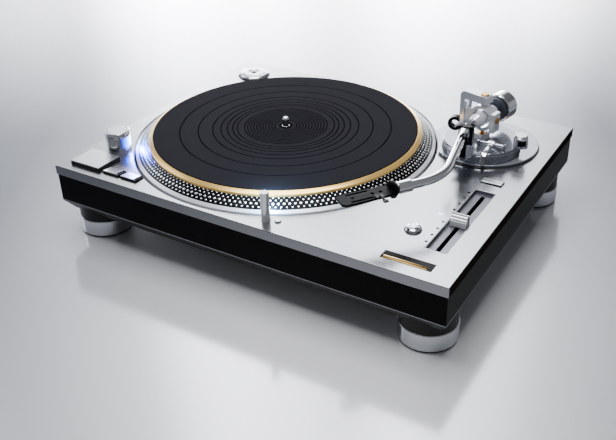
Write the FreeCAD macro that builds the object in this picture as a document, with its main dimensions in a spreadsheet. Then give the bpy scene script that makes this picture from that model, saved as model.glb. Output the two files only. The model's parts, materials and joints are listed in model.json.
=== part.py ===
import FreeCAD, Part

import math
import os
import re

import Sketcher

# A direct-drive turntable. Millimetres, +Z up, the front towards -Y and the arm on the right.
# The origin is the centre of the deck at the height of the surface that the feet stand on.

dimensions = {
    # deck: a thick top plate on a cabinet, closed from below by a heavy base shell
    "bodyWidth": 453, "bodyDepth": 353, "plateTop": 82.2, "plateThick": 10.3, "edgeBreak": 0.5,
    "cabinetInset": 1, "cabinetWall": 9, "cabinetBottom": 40.2, "webTop": 64, "webThick": 4,
    "shellBottom": 28.2, "shellDraw": 8.5, "bossSide": 16,
    # platter and what turns with it
    "spindleX": -45.5, "spindleY": -3, "wellRadius": 167.8, "wellBreak": 1.6,
    "platterRadius": 166, "platterBottom": 73.2, "platterInner": 157, "slopeBottom": 82.9,
    "discRadius": 151.5, "platterDeck": 92.9, "platterUnder": 86, "discTop": 94.9,
    "matRadius": 146.2, "matTop": 98, "grooveDepth": 0.7, "grooveWidth": 1.5,
    "platterBore": 4.1, "centreBore": 3.6, "pinRadius": 3.575, "pinTop": 108.2,
    "shaftRadius": 5, "shaftBottom": 44.1,
    "magnetOuter": 62, "magnetInner": 42, "magnetThick": 7.5,
    # motor parts that stay still
    "housingRadius": 11, "housingTop": 78, "housingBottom": 42.5, "shaftGap": 0.05,
    "boardRadius": 74, "boardThick": 1.6, "coilCircle": 51, "coilRadius": 14, "coilTall": 7,
    # feet
    "footX": 196, "footY": 144.3, "footRadius": 28.4, "footTop": 19.5, "neckRadius": 27.6,
    "neckGap": 0.3, "padThick": 1.8, "studRadius": 5, "studRise": 7.5,
    # push buttons and the fader
    "startX": -193.7, "startY": -149.5, "startWidth": 39.5, "startDepth": 32, "startRise": 4.4,
    "speedX": -158.7, "speedPitch": 23.7, "speedY": -158, "speedWidth": 20.6, "speedDepth": 12.6,
    "speedGap": 2.4, "speedFront": 2.8, "speedBack": 1.2, "capDeep": 7.3, "gapWide": 0.75,
    "stemSide": 8, "stemBottom": 67,
    "resetX": 161.3, "resetY": -108.5, "resetRadius": 7.8, "resetRise": 2, "resetDome": 2.4,
    "rangeX": 192.9, "rangeY": 10.1, "rangeWidth": 21.5, "rangeDepth": 9, "rangeRise": 1.8,
    "troughX": 193.7, "troughY": -70.9, "troughWidth": 21.6, "troughLong": 121.2, "troughDeep": 3.4,
    "troughWall": 0.8, "slotWide": 4.4, "slotLong": 111, "faderY": -77, "faderLong": 9,
    "faderWide": 16.4, "faderTop": 89.8,
    # strobe tower, power switch, target lamp, large-hole adapter, badge recess
    "towerX": -192.8, "towerY": -113.7, "towerRadius": 13.3, "towerTop": 100.6, "switchTop": 105.4,
    "windowLow": 87.5, "windowHigh": 99, "lampX": 33.4, "lampY": -160.1, "lampRadius": 4.4,
    "lampTop": 112.2, "lampBottom": 74, "lensLow": 105.7, "lensHigh": 110.9,
    "lampButtonX": 45.1, "lampButtonY": -157.4, "lampButtonRadius": 3, "lampButtonRise": 1.8,
    "adapterX": -187.9, "adapterY": 137.5, "adapterRecess": 20.8, "adapterDeep": 3,
    "adapterRadius": 19, "adapterTop": 87.4, "badgeX": 179.2, "badgeY": -156.8, "badgeWidth": 49.3,
    "badgeDepth": 12.6, "badgeDeep": 0.8,
    # arm base
    "pivotX": 155.2, "pivotY": 74, "armHeight": 121.2, "surroundRadius": 44.2, "surroundInner": 41.9,
    "surroundRise": 1.2, "lobeShiftX": -2, "lobeShiftY": 15.5, "lobeRadius": 59.2, "lobeTop": 85.4,
    "lobeSlope": 1.6, "wellMargin": 3.2,
    "ringRadius": 41.2, "ringInner": 34, "ringBottom": 76, "ringTop": 94.6, "platformRadius": 40.4,
    "platformTop": 96.6, "platformGap": 0.3, "stemRadius": 33.7, "stemInner": 30,
    "lockX": 38, "lockY": 29, "skateX": 42, "skateY": 3, "skateRadius": 7.5, "skateTop": 108.4,
    # yoke and gimbal, in the yoke's own frame
    "yokeTurn": -16, "yokeDepth": 13, "yokeReach": 27, "yokeLeg": 6, "yokeNose": 5.5, "yokeTall": 49.6,
    "yokeBeam": 8.5, "yokeFoot": 6, "ringOuter": 14, "ringHollow": 10.3, "ringLong": 10,
    "blockTop": 8, "blockTall": 21, "pinThin": 2, "pinFit": 0.05, "bossRise": 16.3,
    # arm, in its own frame: x forwards along the line from pivot to stylus, y to the right of it
    "armTurn": -100.4, "armFront": 14, "armBack": 17.5, "housingBarrel": 7.8, "tubeRadius": 4.4,
    "housingFront": 21, "straightOne": 1.25, "bendOneRadius": 45, "bendOneTurn": 22,
    "straightTwo": 82.4, "bendTwoRadius": 55, "bendTwoTurn": 47, "straightThree": 26,
    "rearShaft": 4, "rearEnd": 49, "weightFront": 27.6, "weightLong": 17, "weightRadius": 15.4,
    "dialFront": 22.4, "dialLong": 4.6, "dialRadius": 12.8,
    "collarLong": 15, "collarRadius": 5.9, "shellWidth": 18.5, "shellThick": 2.2, "shellLong": 57,
    "flangeRadius": 8.4, "slotPitch": 12.7, "mountSlot": 2.6, "mountSlotLong": 22,
    "liftFrom": 21, "liftLong": 11,
    # arm rest and cueing
    "restForward": 50, "restRight": 7.7, "restRadius": 3.4, "restWall": 7.9, "clipRise": 8,
    "hookRadius": 7.4, "hookThick": 3.4, "hookOut": 9.2, "leverX": 18, "leverY": -19.5,
    "leverRise": 5, "axleRadius": 1.8, "axleLong": 30, "handleWide": 5,
    # rear panel
    "signalX": 120, "mainsX": -140, "socketZ": 56, "panelWidth": 62, "panelTall": 22, "panelDeep": 20,
    "inletWide": 30, "inletTall": 20, "phonoPitch": 16, "phonoRadius": 4.15, "phonoLong": 9,
}

doc = FreeCAD.newDocument("turntable")
sizes = doc.addObject("Spreadsheet::Sheet", "Sizes")
for row, (name, number) in enumerate(dimensions.items(), start=1):
    sizes.set(f"A{row}", name)
    sizes.set(f"B{row}", str(number))
    sizes.setAlias(f"B{row}", name)
doc.recompute()

subparts = []
down = FreeCAD.Vector(0, 0, -1)
upright = FreeCAD.Vector(0, 0, 1)


def size(name):
    """One driving dimension, read from the sheet."""
    return float(getattr(sizes, name))


def sized(text):
    """An expression in which each known word points at its cell of the sheet."""
    return re.sub(r"[A-Za-z]\w*", lambda word: "Sizes." + word.group()
                  if word.group() in dimensions else word.group(), str(text))


def bind(item, **properties):
    for name, text in properties.items():
        item.setExpression(name, sized(text))
    return item


def place(item, x=0, y=0, z=0, turn=None, axis=upright):
    """Put an object at bound coordinates, turned about an axis through its own origin."""
    if turn is not None:
        item.Placement = FreeCAD.Placement(FreeCAD.Vector(), FreeCAD.Rotation(axis, 1))
        item.setExpression("Placement.Rotation.Angle", sized(turn))
    for letter, text in zip("xyz", (x, y, z)):
        item.setExpression("Placement.Base." + letter, sized(text))
    return item


def box(name, length, width, height, x, y, z):
    """A block centred on x and y, standing on z."""
    block = bind(doc.addObject("Part::Box", name), Length=length, Width=width, Height=height)
    return place(block, f"{x} - ({length}) / 2", f"{y} - ({width}) / 2", z)


def rod(name, radius, height, x, y, z):
    return place(bind(doc.addObject("Part::Cylinder", name), Radius=radius, Height=height), x, y, z)


def lyingRod(name, radius, length, x, y, z, axis="y"):
    """A cylinder along x or y that starts at a point."""
    bar = bind(doc.addObject("Part::Cylinder", name), Radius=radius, Height=length)
    if axis == "y":
        return place(bar, x, y, z, -90, FreeCAD.Vector(1, 0, 0))
    return place(bar, x, y, z, 90, FreeCAD.Vector(0, 1, 0))


def cone(name, low, high, height, x, y, z):
    tapered = bind(doc.addObject("Part::Cone", name), Radius1=low, Radius2=high, Height=height)
    return place(tapered, x, y, z)


def fuse(name, *items):
    joined = doc.addObject("Part::MultiFuse", name)
    joined.Shapes = list(items)
    return joined


def cut(name, base, *tools):
    result = doc.addObject("Part::Cut", name)
    result.Base = base
    result.Tool = tools[0] if len(tools) == 1 else fuse(name + "Tools", *tools)
    return result


def common(name, first, second):
    result = doc.addObject("Part::Common", name)
    result.Base = first
    result.Tool = second
    return result


def tube(name, outer, inner, height, x, y, z):
    hollow = rod(name + "Bore", inner, f"{height} + 2", x, y, f"{z} - 1")
    return cut(name, rod(name + "Outer", outer, height, x, y, z), hollow)


def group(name, *items):
    """Separate solids that share one node."""
    together = doc.addObject("Part::Compound", name)
    together.Links = list(items)
    return together


def node(name, item):
    item.Label = name
    subparts.append(item)
    return item


def newBody(name):
    return doc.addObject("PartDesign::Body", name)


def sketchOn(body, name, role="XY_Plane"):
    sketch = body.newObject("Sketcher::SketchObject", name)
    plane = [feature for feature in body.Origin.OriginFeatures if feature.Role == role][0]
    sketch.AttachmentSupport = [(plane, "")]
    sketch.MapMode = "FlatFace"
    return sketch


def pin(sketch, geometry, point, x, y):
    """Fix a point of a sketch at bound coordinates."""
    for kind, text in (("DistanceX", x), ("DistanceY", y)):
        constraint = sketch.addConstraint(Sketcher.Constraint(kind, -1, 1, geometry, point, 1.0))
        label = f"{kind}{constraint}"
        sketch.renameConstraint(constraint, label)
        sketch.setExpression("Constraints." + label, sized(text))


def polygon(sketch, corners):
    """A closed outline through corners whose coordinates are bound to the sheet."""
    count = len(corners)
    first = sketch.GeometryCount
    start = [FreeCAD.Vector(10 * math.cos(2 * math.pi * i / count),
                            10 * math.sin(2 * math.pi * i / count), 0) for i in range(count)]
    for i in range(count):
        sketch.addGeometry(Part.LineSegment(start[i], start[(i + 1) % count]), False)
    for i in range(count):
        sketch.addConstraint(Sketcher.Constraint("Coincident", first + i, 2,
                                                 first + (i + 1) % count, 1))
    for i, (x, y) in enumerate(corners):
        pin(sketch, first + i, 1, x, y)


def rectangle(sketch, x, y, width, depth):
    left, right = f"({x}) - ({width}) / 2", f"({x}) + ({width}) / 2"
    front, back = f"({y}) - ({depth}) / 2", f"({y}) + ({depth}) / 2"
    polygon(sketch, [(left, front), (right, front), (right, back), (left, back)])


def circle(sketch, x, y, radius):
    index = sketch.addGeometry(Part.Circle(FreeCAD.Vector(1, 1, 0), upright, 5), False)
    constraint = sketch.addConstraint(Sketcher.Constraint("Radius", index, 5.0))
    sketch.renameConstraint(constraint, f"Radius{constraint}")
    sketch.setExpression(f"Constraints.Radius{constraint}", sized(radius))
    pin(sketch, index, 3, x, y)


def padded(body, sketch, length, symmetric=False):
    pad = body.newObject("PartDesign::Pad", sketch.Name + "Pad")
    pad.Profile = sketch
    pad.Midplane = symmetric
    return bind(pad, Length=length)


def pocketed(body, sketch, depth=None, upwards=False):
    """Cut a sketch's outlines away: right through, or to a depth."""
    pocket = body.newObject("PartDesign::Pocket", sketch.Name + "Pocket")
    pocket.Profile = sketch
    pocket.Reversed = upwards
    if depth is None:
        pocket.Type = 1
    else:
        bind(pocket, Length=depth)
    return pocket


def chamfered(body, name, feature, amount, test):
    """Break the edges of a body's feature that pass a test."""
    doc.recompute()
    names = [f"Edge{i + 1}" for i, edge in enumerate(feature.Shape.Edges) if test(edge)]
    chamfer = body.newObject("PartDesign::Chamfer", name)
    chamfer.Base = (feature, names)
    return bind(chamfer, Size=amount)


def turned(name, corners, axis="V_Axis"):
    """A solid of revolution: about Z from (radius, height) corners, or about X (H_Axis) from
    (length, radius) corners."""
    body = newBody(name)
    sketch = sketchOn(body, name + "Profile", "XZ_Plane")
    polygon(sketch, corners)
    spin = body.newObject("PartDesign::Revolution", name + "Spin")
    spin.Profile = sketch
    spin.ReferenceAxis = (sketch, [axis])
    spin.Angle = 360
    return body


def atHeight(level):
    """A test for edges that lie at one height."""
    return lambda edge: abs(edge.BoundBox.ZMin - level) < 0.01 and abs(edge.BoundBox.ZMax - level) < 0.01


def roundEdge(edge, radius, level):
    return atHeight(level)(edge) and hasattr(edge.Curve, "Radius") and abs(edge.Curve.Radius - radius) < 0.01


# Top plate: brushed slab with the platter well, the arm base hole and the control openings


def makeTopPlate():
    body = newBody("topPlate")
    outline = sketchOn(body, "plateOutline")
    rectangle(outline, 0, 0, "bodyWidth", "bodyDepth")
    slab = padded(body, outline, "plateThick")
    through = sketchOn(body, "plateOpenings")
    circle(through, "spindleX", "spindleY", "wellRadius")
    circle(through, "pivotX", "pivotY", "surroundRadius + 0.3")
    rectangle(through, "startX", "startY", "startWidth + 2 * gapWide", "startDepth + 2 * gapWide")
    rectangle(through, "speedX + (speedPitch + speedGap - gapWide) / 2", "speedY",
              "speedWidth + speedPitch + gapWide + speedGap", "speedDepth + 2 * gapWide")
    rectangle(through, "rangeX", "rangeY", "rangeWidth + 2 * gapWide", "rangeDepth + 2 * gapWide")
    rectangle(through, "troughX", "troughY", "troughWidth", "troughLong")
    circle(through, "resetX", "resetY", "resetRadius + gapWide")
    circle(through, "towerX", "towerY", "towerRadius + 0.3")
    circle(through, "lampX", "lampY", "lampRadius + 0.3")
    circle(through, "lampButtonX", "lampButtonY", "lampButtonRadius + 0.3")
    opened = pocketed(body, through, upwards=True)
    doc.recompute()
    recesses = sketchOn(body, "plateRecesses")
    bind(recesses, **{"AttachmentOffset.Base.z": "plateThick - adapterDeep"})
    circle(recesses, "adapterX", "adapterY", "adapterRecess")
    sunk = pocketed(body, recesses, "adapterDeep + 1", upwards=True)
    badge = sketchOn(body, "badgeRecess")
    bind(badge, **{"AttachmentOffset.Base.z": "plateThick - badgeDeep"})
    rectangle(badge, "badgeX", "badgeY", "badgeWidth", "badgeDepth")
    marked = pocketed(body, badge, "badgeDeep + 1", upwards=True)
    top = size("plateThick")
    well = chamfered(body, "wellBreak", marked, "wellBreak",
                     lambda edge: roundEdge(edge, size("wellRadius"), top))
    half = size("bodyWidth") / 2
    deep = size("bodyDepth") / 2
    chamfered(body, "plateBreak", well, "edgeBreak", lambda edge: atHeight(top)(edge) and (
        abs(abs(edge.CenterOfMass.x) - half) < 0.01 or abs(abs(edge.CenterOfMass.y) - deep) < 0.01))
    node("top_plate", place(body, z="plateTop - plateThick"))


makeTopPlate()


# Cabinet: walls, a web that carries the motor, blocks behind the two rear panels


def makeCabinet():
    height = "plateTop - plateThick - cabinetBottom"
    across, deep = "bodyWidth - 2 * cabinetInset", "bodyDepth - 2 * cabinetInset"
    within = "2 * (cabinetInset + cabinetWall)"
    outer = box("cabinetBlock", across, deep, height, 0, 0, "cabinetBottom")
    upper = box("cabinetUpper", f"bodyWidth - {within}", f"bodyDepth - {within}", 30, 0, 0, "webTop")
    lower = box("cabinetLower", f"bodyWidth - {within}", f"bodyDepth - {within}",
                "webTop - webThick - cabinetBottom + 1", 0, 0, "cabinetBottom - 1")
    rear = "bodyDepth / 2 - cabinetInset - panelDeep / 2"
    blocks = []
    panels = []
    for name, x, wide, tall in (("signal", "signalX", "panelWidth", "panelTall"),
                                ("mains", "mainsX", "inletWide", "inletTall")):
        blocks.append(box(name + "Block", f"{wide} + 8", "panelDeep + 4", height, x,
                          "bodyDepth / 2 - cabinetInset - (panelDeep + 4) / 2", "cabinetBottom"))
        panels.append(box(name + "Panel", wide, "panelDeep + 2", tall, x, f"{rear} + 1",
                          f"socketZ - {tall} / 2"))
    bosses = [box(f"boss{i}", "bossSide", "bossSide", "webTop - cabinetBottom", f"{sx} * 208",
                  f"{sy} * 158", "cabinetBottom")
              for i, (sx, sy) in enumerate(((-1, -1), (1, -1), (-1, 1), (1, 1)))]
    motorHole = rod("motorHole", "housingRadius + 0.2", 30, "spindleX", "spindleY", "webTop - 20")
    armHole = rod("armHole", "surroundInner", 30, "pivotX", "pivotY", "webTop - 20")
    lampHole = rod("lampHole", "lampRadius + 0.8", 30, "lampX", "lampY", "webTop - 20")
    hollow = cut("cabinetHollow", outer, upper, lower)
    solid = fuse("cabinetSolid", hollow, *blocks, *bosses)
    node("cabinet", cut("cabinet", solid, motorHole, armHole, lampHole, *panels))


makeCabinet()


# Base shell: a heavy slab whose four sides draw in towards the floor


def makeBaseShell():
    body = newBody("baseShell")
    outline = sketchOn(body, "shellOutline")
    rectangle(outline, 0, 0, "bodyWidth - 2 * cabinetInset", "bodyDepth - 2 * cabinetInset")
    slab = padded(body, outline, "cabinetBottom - shellBottom")
    doc.recompute()
    drawn = body.newObject("PartDesign::Chamfer", "shellDrawn")
    drawn.Base = (slab, [f"Edge{i + 1}" for i, edge in enumerate(slab.Shape.Edges) if atHeight(0)(edge)])
    drawn.ChamferType = "Two distances"
    bind(drawn, Size="cabinetBottom - shellBottom - 0.6", Size2="shellDraw")
    holes = sketchOn(body, "screwRecesses")
    for x in (-150, -50, 50, 150):
        for side in (-1, 1):
            circle(holes, x, side * 150, 4)
    pocketed(body, holes, 3, upwards=True)
    shell = node("base_shell", place(body, z="shellBottom"))
    heads = []
    for x in (-150, -50, 50, 150):
        for side in (-1, 1):
            head = rod(f"screwHead{len(heads)}", 3.6, 2.2, x, side * 150, "shellBottom + 0.8")
            cross = box(f"screwCross{len(heads)}", 4, 0.9, 1.2, x, side * 150, "shellBottom + 0.7")
            heads.append(cut(f"screw{len(heads)}", head, cross))
    node("base_screws", group("baseScrews", *heads))
    return shell


baseShell = makeBaseShell()


# Feet: a fixed neck under the base, and a turned shell that screws down out of it on a stud


def makeFeet():
    necks = []
    for name, sx, sy in (("front_left", -1, -1), ("front_right", 1, -1), ("rear_left", -1, 1),
                         ("rear_right", 1, 1)):
        x, y = f"{sx} * footX", f"{sy} * footY"
        gapTop = "(footTop + neckGap)"
        neck = rod("neck" + name, "neckRadius", f"shellBottom + 9 - {gapTop}", x, y, gapTop)
        socket = rod("socket" + name, "studRadius + 0.1", "studRise", x, y, gapTop)
        necks.append(cut("neckBored" + name, neck, socket, baseShell))
        lip = "footRadius - 0.8"
        shell = turned("foot" + name, [
            (0, "padThick"), (lip, "padThick"), ("footRadius", "padThick + 0.8"),
            ("footRadius", "footTop - 0.7"), ("footRadius - 0.7", "footTop"),
            ("studRadius", "footTop"), ("studRadius", "footTop + studRise - 0.4"),
            (0, "footTop + studRise - 0.4")])
        node("foot_" + name, place(shell, x, y))
        pad = turned("pad" + name, [(0, 0), ("footRadius - 1.3", 0), ("footRadius - 0.8", 0.5),
                                    ("footRadius - 0.8", "padThick"), (0, "padThick")])
        node("foot_pad_" + name, place(pad, x, y))
    node("foot_necks", group("footNecks", *necks))


makeFeet()


# Platter: rim with a sloped face, brass disc, damper, magnet, spindle and mat, all on one axis


def makePlatter():
    platter = turned("platter", [
        ("platterBore", 84), (14, 84), (14, "platterUnder"), ("platterInner", "platterUnder"),
        ("platterInner", "platterBottom"), ("platterRadius - 1", "platterBottom"),
        ("platterRadius", "platterBottom + 1"), ("platterRadius", "slopeBottom"),
        ("discRadius + 0.4", "platterDeck"), ("platterBore", "platterDeck")])
    disc = turned("platterDisc", [
        ("platterBore", "platterDeck"), ("discRadius", "platterDeck"), ("discRadius", "discTop - 0.6"),
        ("discRadius - 0.6", "discTop"), ("platterBore", "discTop")])
    damper = turned("platterDamper", [
        (16, 84), ("platterInner - 0.5", 84), ("platterInner - 0.5", "platterUnder"),
        (16, "platterUnder")])
    magnet = turned("rotorMagnet", [
        ("magnetInner", "84 - magnetThick"), ("magnetOuter", "84 - magnetThick"), ("magnetOuter", 84),
        ("magnetInner", 84)])
    spindle = turned("spindle", [
        (0, "shaftBottom"), ("shaftRadius - 1.5", "shaftBottom"),
        ("shaftRadius", "shaftBottom + 1.5"), ("shaftRadius", 80), (10, 80), (10, 84),
        ("platterBore - 0.025", 84), ("platterBore - 0.025", "matTop"), ("pinRadius", "matTop"),
        ("pinRadius", "pinTop - 2.2"), ("pinRadius - 0.9", "pinTop - 0.5"),
        ("pinRadius - 1.6", "pinTop"), (0, "pinTop")])
    for name, item in (("platter", platter), ("platter_disc", disc), ("platter_damper", damper),
                       ("rotor_magnet", magnet), ("spindle", spindle)):
        node(name, place(item, "spindleX", "spindleY"))


makePlatter()


def makeMat():
    """The mat's top is one stepped profile: single grooves far out, a close set near the centre."""
    grooves = [12.5 + 3.35 * step for step in range(11)] + [54, 59, 65, 72, 81, 97, 117]
    top = [("platterBore + 4", "matTop")]
    for middle in grooves:
        half = "grooveWidth / 2"
        bottom = "matTop - grooveDepth"
        top += [(f"{middle} - {half}", "matTop"), (f"{middle} - {half} / 2", bottom),
                (f"{middle} + {half} / 2", bottom), (f"{middle} + {half}", "matTop")]
    outline = [("platterBore", "discTop"), ("matRadius", "discTop"), ("matRadius", "matTop - 0.8"),
               ("matRadius - 0.8", "matTop")]
    mat = turned("slipMat", outline + top[::-1] + [("platterBore + 3.4", "matTop - 0.6"),
                                                  ("platterBore", "matTop - 0.6")])
    node("slip_mat", place(mat, "spindleX", "spindleY"))


makeMat()


# Motor: bearing housing, board and nine coils standing on the web


def makeMotor():
    housing = turned("bearingHousing", [
        (0, "housingBottom"), ("housingRadius", "housingBottom"), ("housingRadius", "webTop"),
        (19, "webTop"), (19, "webTop + 3"), ("housingRadius", "webTop + 3"),
        ("housingRadius", "housingTop"), ("shaftRadius + shaftGap", "housingTop"),
        ("shaftRadius + shaftGap", "shaftBottom - 0.1"), (0, "shaftBottom - 0.1")])
    node("bearing_housing", place(housing, "spindleX", "spindleY"))
    board = tube("statorBoard", "boardRadius", 20, "boardThick", "spindleX", "spindleY", "webTop")
    node("stator_board", board)
    coils = []
    for step in range(9):
        angle = math.radians(step * 360 / 9)
        x = f"spindleX + coilCircle * {math.cos(angle):.6f}"
        y = f"spindleY + coilCircle * {math.sin(angle):.6f}"
        coils.append(tube(f"coil{step}", "coilRadius", 5, "coilTall", x, y, "webTop + boardThick"))
    node("stator_coils", group("statorCoils", *coils))


makeMotor()


# Electronics in the closed space under the web


def makeElectronics():
    level = "webTop - webThick - 8"
    board = box("controlBoardPlate", 130, 80, "boardThick", 90, -90, level)
    chips = [box(f"chip{i}", wide, deep, 1.8, 90 + dx, -90 + dy, f"{level} - 1.8")
             for i, (wide, deep, dx, dy) in enumerate(((18, 18, -30, 10), (14, 10, 5, -15),
                                                       (10, 24, 35, 8), (22, 8, -20, -25)))]
    stands = [rod(f"controlStand{i}", 3, f"8 - boardThick", 90 + dx, -90 + dy, f"{level} + boardThick")
              for i, (dx, dy) in enumerate(((-60, -35), (60, -35), (-60, 35), (60, 35)))]
    node("control_board", fuse("controlBoard", board, *chips, *stands))
    supply = box("supplyPlate", 110, 70, "boardThick", -130, 110, level)
    core = box("supplyCore", 44, 36, 9, -150, 112, f"{level} - 9")
    sinks = [box(f"supplyFin{i}", 30, 1.6, 8, -102, 96 + 5 * i, f"{level} - 8") for i in range(6)]
    legs = [rod(f"supplyStand{i}", 3, f"8 - boardThick", -130 + dx, 110 + dy, f"{level} + boardThick")
            for i, (dx, dy) in enumerate(((-50, -30), (50, -30), (-50, 30), (50, 30)))]
    node("power_supply", fuse("powerSupply", supply, core, *sinks, *legs))


makeElectronics()


# Push buttons: a cap that fills its opening and a stem that reaches down to its switch


def makeButton(name, x, y, width, depth, front, back):
    """A cap whose top runs from one height above the plate at its front to another at its back."""
    body = newBody(name)
    side = sketchOn(body, name + "Side", "YZ_Plane")
    polygon(side, [(f"-({depth}) / 2", 0), (f"({depth}) / 2", 0),
                   (f"({depth}) / 2", f"capDeep + {back}"), (f"-({depth}) / 2", f"capDeep + {front}")])
    cap = padded(body, side, width, symmetric=True)
    doc.recompute()
    top = max(cap.Shape.Faces, key=lambda face: face.CenterOfMass.z)
    chamfered(body, name + "Break", cap, 0.5,
              lambda edge: any(edge.isSame(border) for border in top.Edges))
    stem = sketchOn(body, name + "Stem")
    rectangle(stem, 0, 0, "stemSide", "stemSide")
    post = padded(body, stem, "plateTop - capDeep - stemBottom")
    post.Reversed = True
    node(name, place(body, x, y, "plateTop - capDeep"))


def makeButtons():
    makeButton("start_stop_button", "startX", "startY", "startWidth", "startDepth", "startRise",
               "startRise")
    for number, name in enumerate(("speed_button_33", "speed_button_45")):
        makeButton(name, f"speedX + {number} * speedPitch", "speedY", "speedWidth", "speedDepth",
                   "speedFront", "speedBack")
    makeButton("range_button", "rangeX", "rangeY", "rangeWidth", "rangeDepth", "rangeRise", "rangeRise")
    rim = "plateTop + resetRise"
    reset = turned("resetButton", [
        (0, "stemBottom"), (4, "stemBottom"), (4, "plateTop - 7"), ("resetRadius", "plateTop - 7"),
        ("resetRadius", rim), ("resetRadius * 0.92", f"{rim} + resetDome * 0.3"),
        ("resetRadius * 0.75", f"{rim} + resetDome * 0.62"),
        ("resetRadius * 0.5", f"{rim} + resetDome * 0.87"),
        ("resetRadius * 0.22", f"{rim} + resetDome * 0.98"), (0, f"{rim} + resetDome")])
    node("reset_button", place(reset, "resetX", "resetY"))
    lampButton = turned("lampButton", [
        (0, "stemBottom"), (2, "stemBottom"), (2, "plateTop - 6"), ("lampButtonRadius", "plateTop - 6"),
        ("lampButtonRadius", "plateTop + lampButtonRise - 0.5"),
        ("lampButtonRadius - 0.5", "plateTop + lampButtonRise"), (0, "plateTop + lampButtonRise")])
    node("lamp_button", place(lampButton, "lampButtonX", "lampButtonY"))


makeButtons()


# Pitch fader: a tray let into the plate with a slot in its floor, and a ridged knob


def makeFader():
    floor = "plateTop - troughDeep"
    tray = box("trayBlock", "troughWidth", "troughLong", "troughDeep + 1.4", "troughX", "troughY",
               f"{floor} - 1.4")
    space = box("traySpace", "troughWidth - 2 * troughWall", "troughLong - 2 * troughWall",
                "troughDeep + 1", "troughX", "troughY", floor)
    slot = box("traySlot", "slotWide", "slotLong", 8, "troughX", "troughY", f"{floor} - 4")
    node("pitch_bezel", cut("pitchBezel", tray, space, slot))
    body = newBody("pitchKnob")
    side = sketchOn(body, "knobSide", "YZ_Plane")
    high, half = "faderTop - plateTop + troughDeep - 0.4", "faderLong / 2"
    profile = [(f"-{half}", 0), (half, 0), (half, f"{high} * 0.42"), (f"{half} * 0.62", f"{high} * 0.86"),
               (f"{half} * 0.5", f"{high} * 0.86"), (f"{half} * 0.42", high), (f"{half} * 0.12", high),
               (0, f"{high} * 0.86"), (f"-{half} * 0.12", high), (f"-{half} * 0.42", high),
               (f"-{half} * 0.5", f"{high} * 0.86"), (f"-{half} * 0.62", f"{high} * 0.86"),
               (f"-{half}", f"{high} * 0.42")]
    polygon(side, profile)
    padded(body, side, "faderWide", symmetric=True)
    stem = sketchOn(body, "knobStem")
    rectangle(stem, 0, 0, "slotWide - 0.6", "faderLong - 2")
    post = padded(body, stem, 9)
    post.Reversed = True
    node("pitch_knob", place(body, "troughX", "faderY", f"{floor} + 0.4"))


makeFader()


# Strobe tower with its window and the rotary power switch on top


def makeTower():
    shell = rod("towerShell", "towerRadius", "towerTop - webTop", "towerX", "towerY", "webTop")
    hollow = rod("towerHollow", "towerRadius - 1.9", "towerTop - 1.4 - webTop - 1", "towerX", "towerY",
                 "webTop + 1")
    stemHole = rod("towerStemHole", 3.3, 6, "towerX", "towerY", "towerTop - 4")
    pane = tube("towerPane", "towerRadius", "towerRadius - 1.9", "towerTop - webTop", "towerX",
                "towerY", "webTop")
    slots = []
    for name in ("towerSlot", "paneSlot"):
        slot = box(name, 8, 9.6, "windowHigh - windowLow", 0, 0, 0)
        turn = "atan2(spindleY - towerY; spindleX - towerX)"
        place(slot, f"towerX + 9 * cos({turn}) + 4.8 * sin({turn})",
              f"towerY + 9 * sin({turn}) - 4.8 * cos({turn})", "windowLow", turn)
        slots.append(slot)
    node("strobe_tower", cut("strobeTower", shell, hollow, stemHole, slots[0]))
    node("strobe_window", common("strobeWindow", pane, slots[1]))
    knob = turned("powerKnob", [
        (0, "towerTop - 5"), (3, "towerTop - 5"), (3, "towerTop + 0.4"),
        ("towerRadius - 0.4", "towerTop + 0.4"), ("towerRadius", "towerTop + 0.8"),
        ("towerRadius", "switchTop - 0.7"), ("towerRadius - 0.7", "switchTop"), (0, "switchTop")])
    node("power_knob", place(knob, "towerX", "towerY"))


makeTower()


# Target lamp: a pillar that sinks into the plate, with a light window near its top


def makeLamp():
    pillar = turned("lampPillar", [
        (0, "lampBottom"), ("lampRadius", "lampBottom"), ("lampRadius", "lampTop - 0.7"),
        ("lampRadius - 0.7", "lampTop"), (0, "lampTop")])
    place(pillar, "lampX", "lampY")
    windows = [box(name, 5, 4, "lensHigh - lensLow", "lampX - 1", "lampY + 3.2", "lensLow")
               for name in ("lampCut", "lensCut")]
    glass = rod("lensRound", "lampRadius", "lensHigh - lensLow", "lampX", "lampY", "lensLow")
    node("lamp_pillar", cut("lampCutPillar", pillar, windows[0]))
    node("lamp_lens", common("lampLens", glass, windows[1]))


makeLamp()


def makeAdapter():
    floor = "plateTop - adapterDeep"
    adapter = turned("adapter", [
        ("centreBore", floor), ("adapterRadius - 0.5", floor), ("adapterRadius", f"{floor} + 0.5"),
        ("adapterRadius", "adapterTop - 2.6"), ("adapterRadius - 1.6", "adapterTop - 1.1"),
        ("adapterRadius - 6", "adapterTop"), ("centreBore + 4", "adapterTop"),
        ("centreBore + 3", "adapterTop - 1"), ("centreBore", "adapterTop - 1")])
    node("adapter_45", place(adapter, "adapterX", "adapterY"))


makeAdapter()


# Arm base: fixed surround, the ring that sets the height, and the platform that it raises


def armPoint(forward, right):
    """Model coordinates of a point given in the arm's frame, with the arm on its rest."""
    return (f"pivotX + ({forward}) * cos(armTurn) - ({right}) * sin(armTurn)",
            f"pivotY + ({forward}) * sin(armTurn) + ({right}) * cos(armTurn)")


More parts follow.
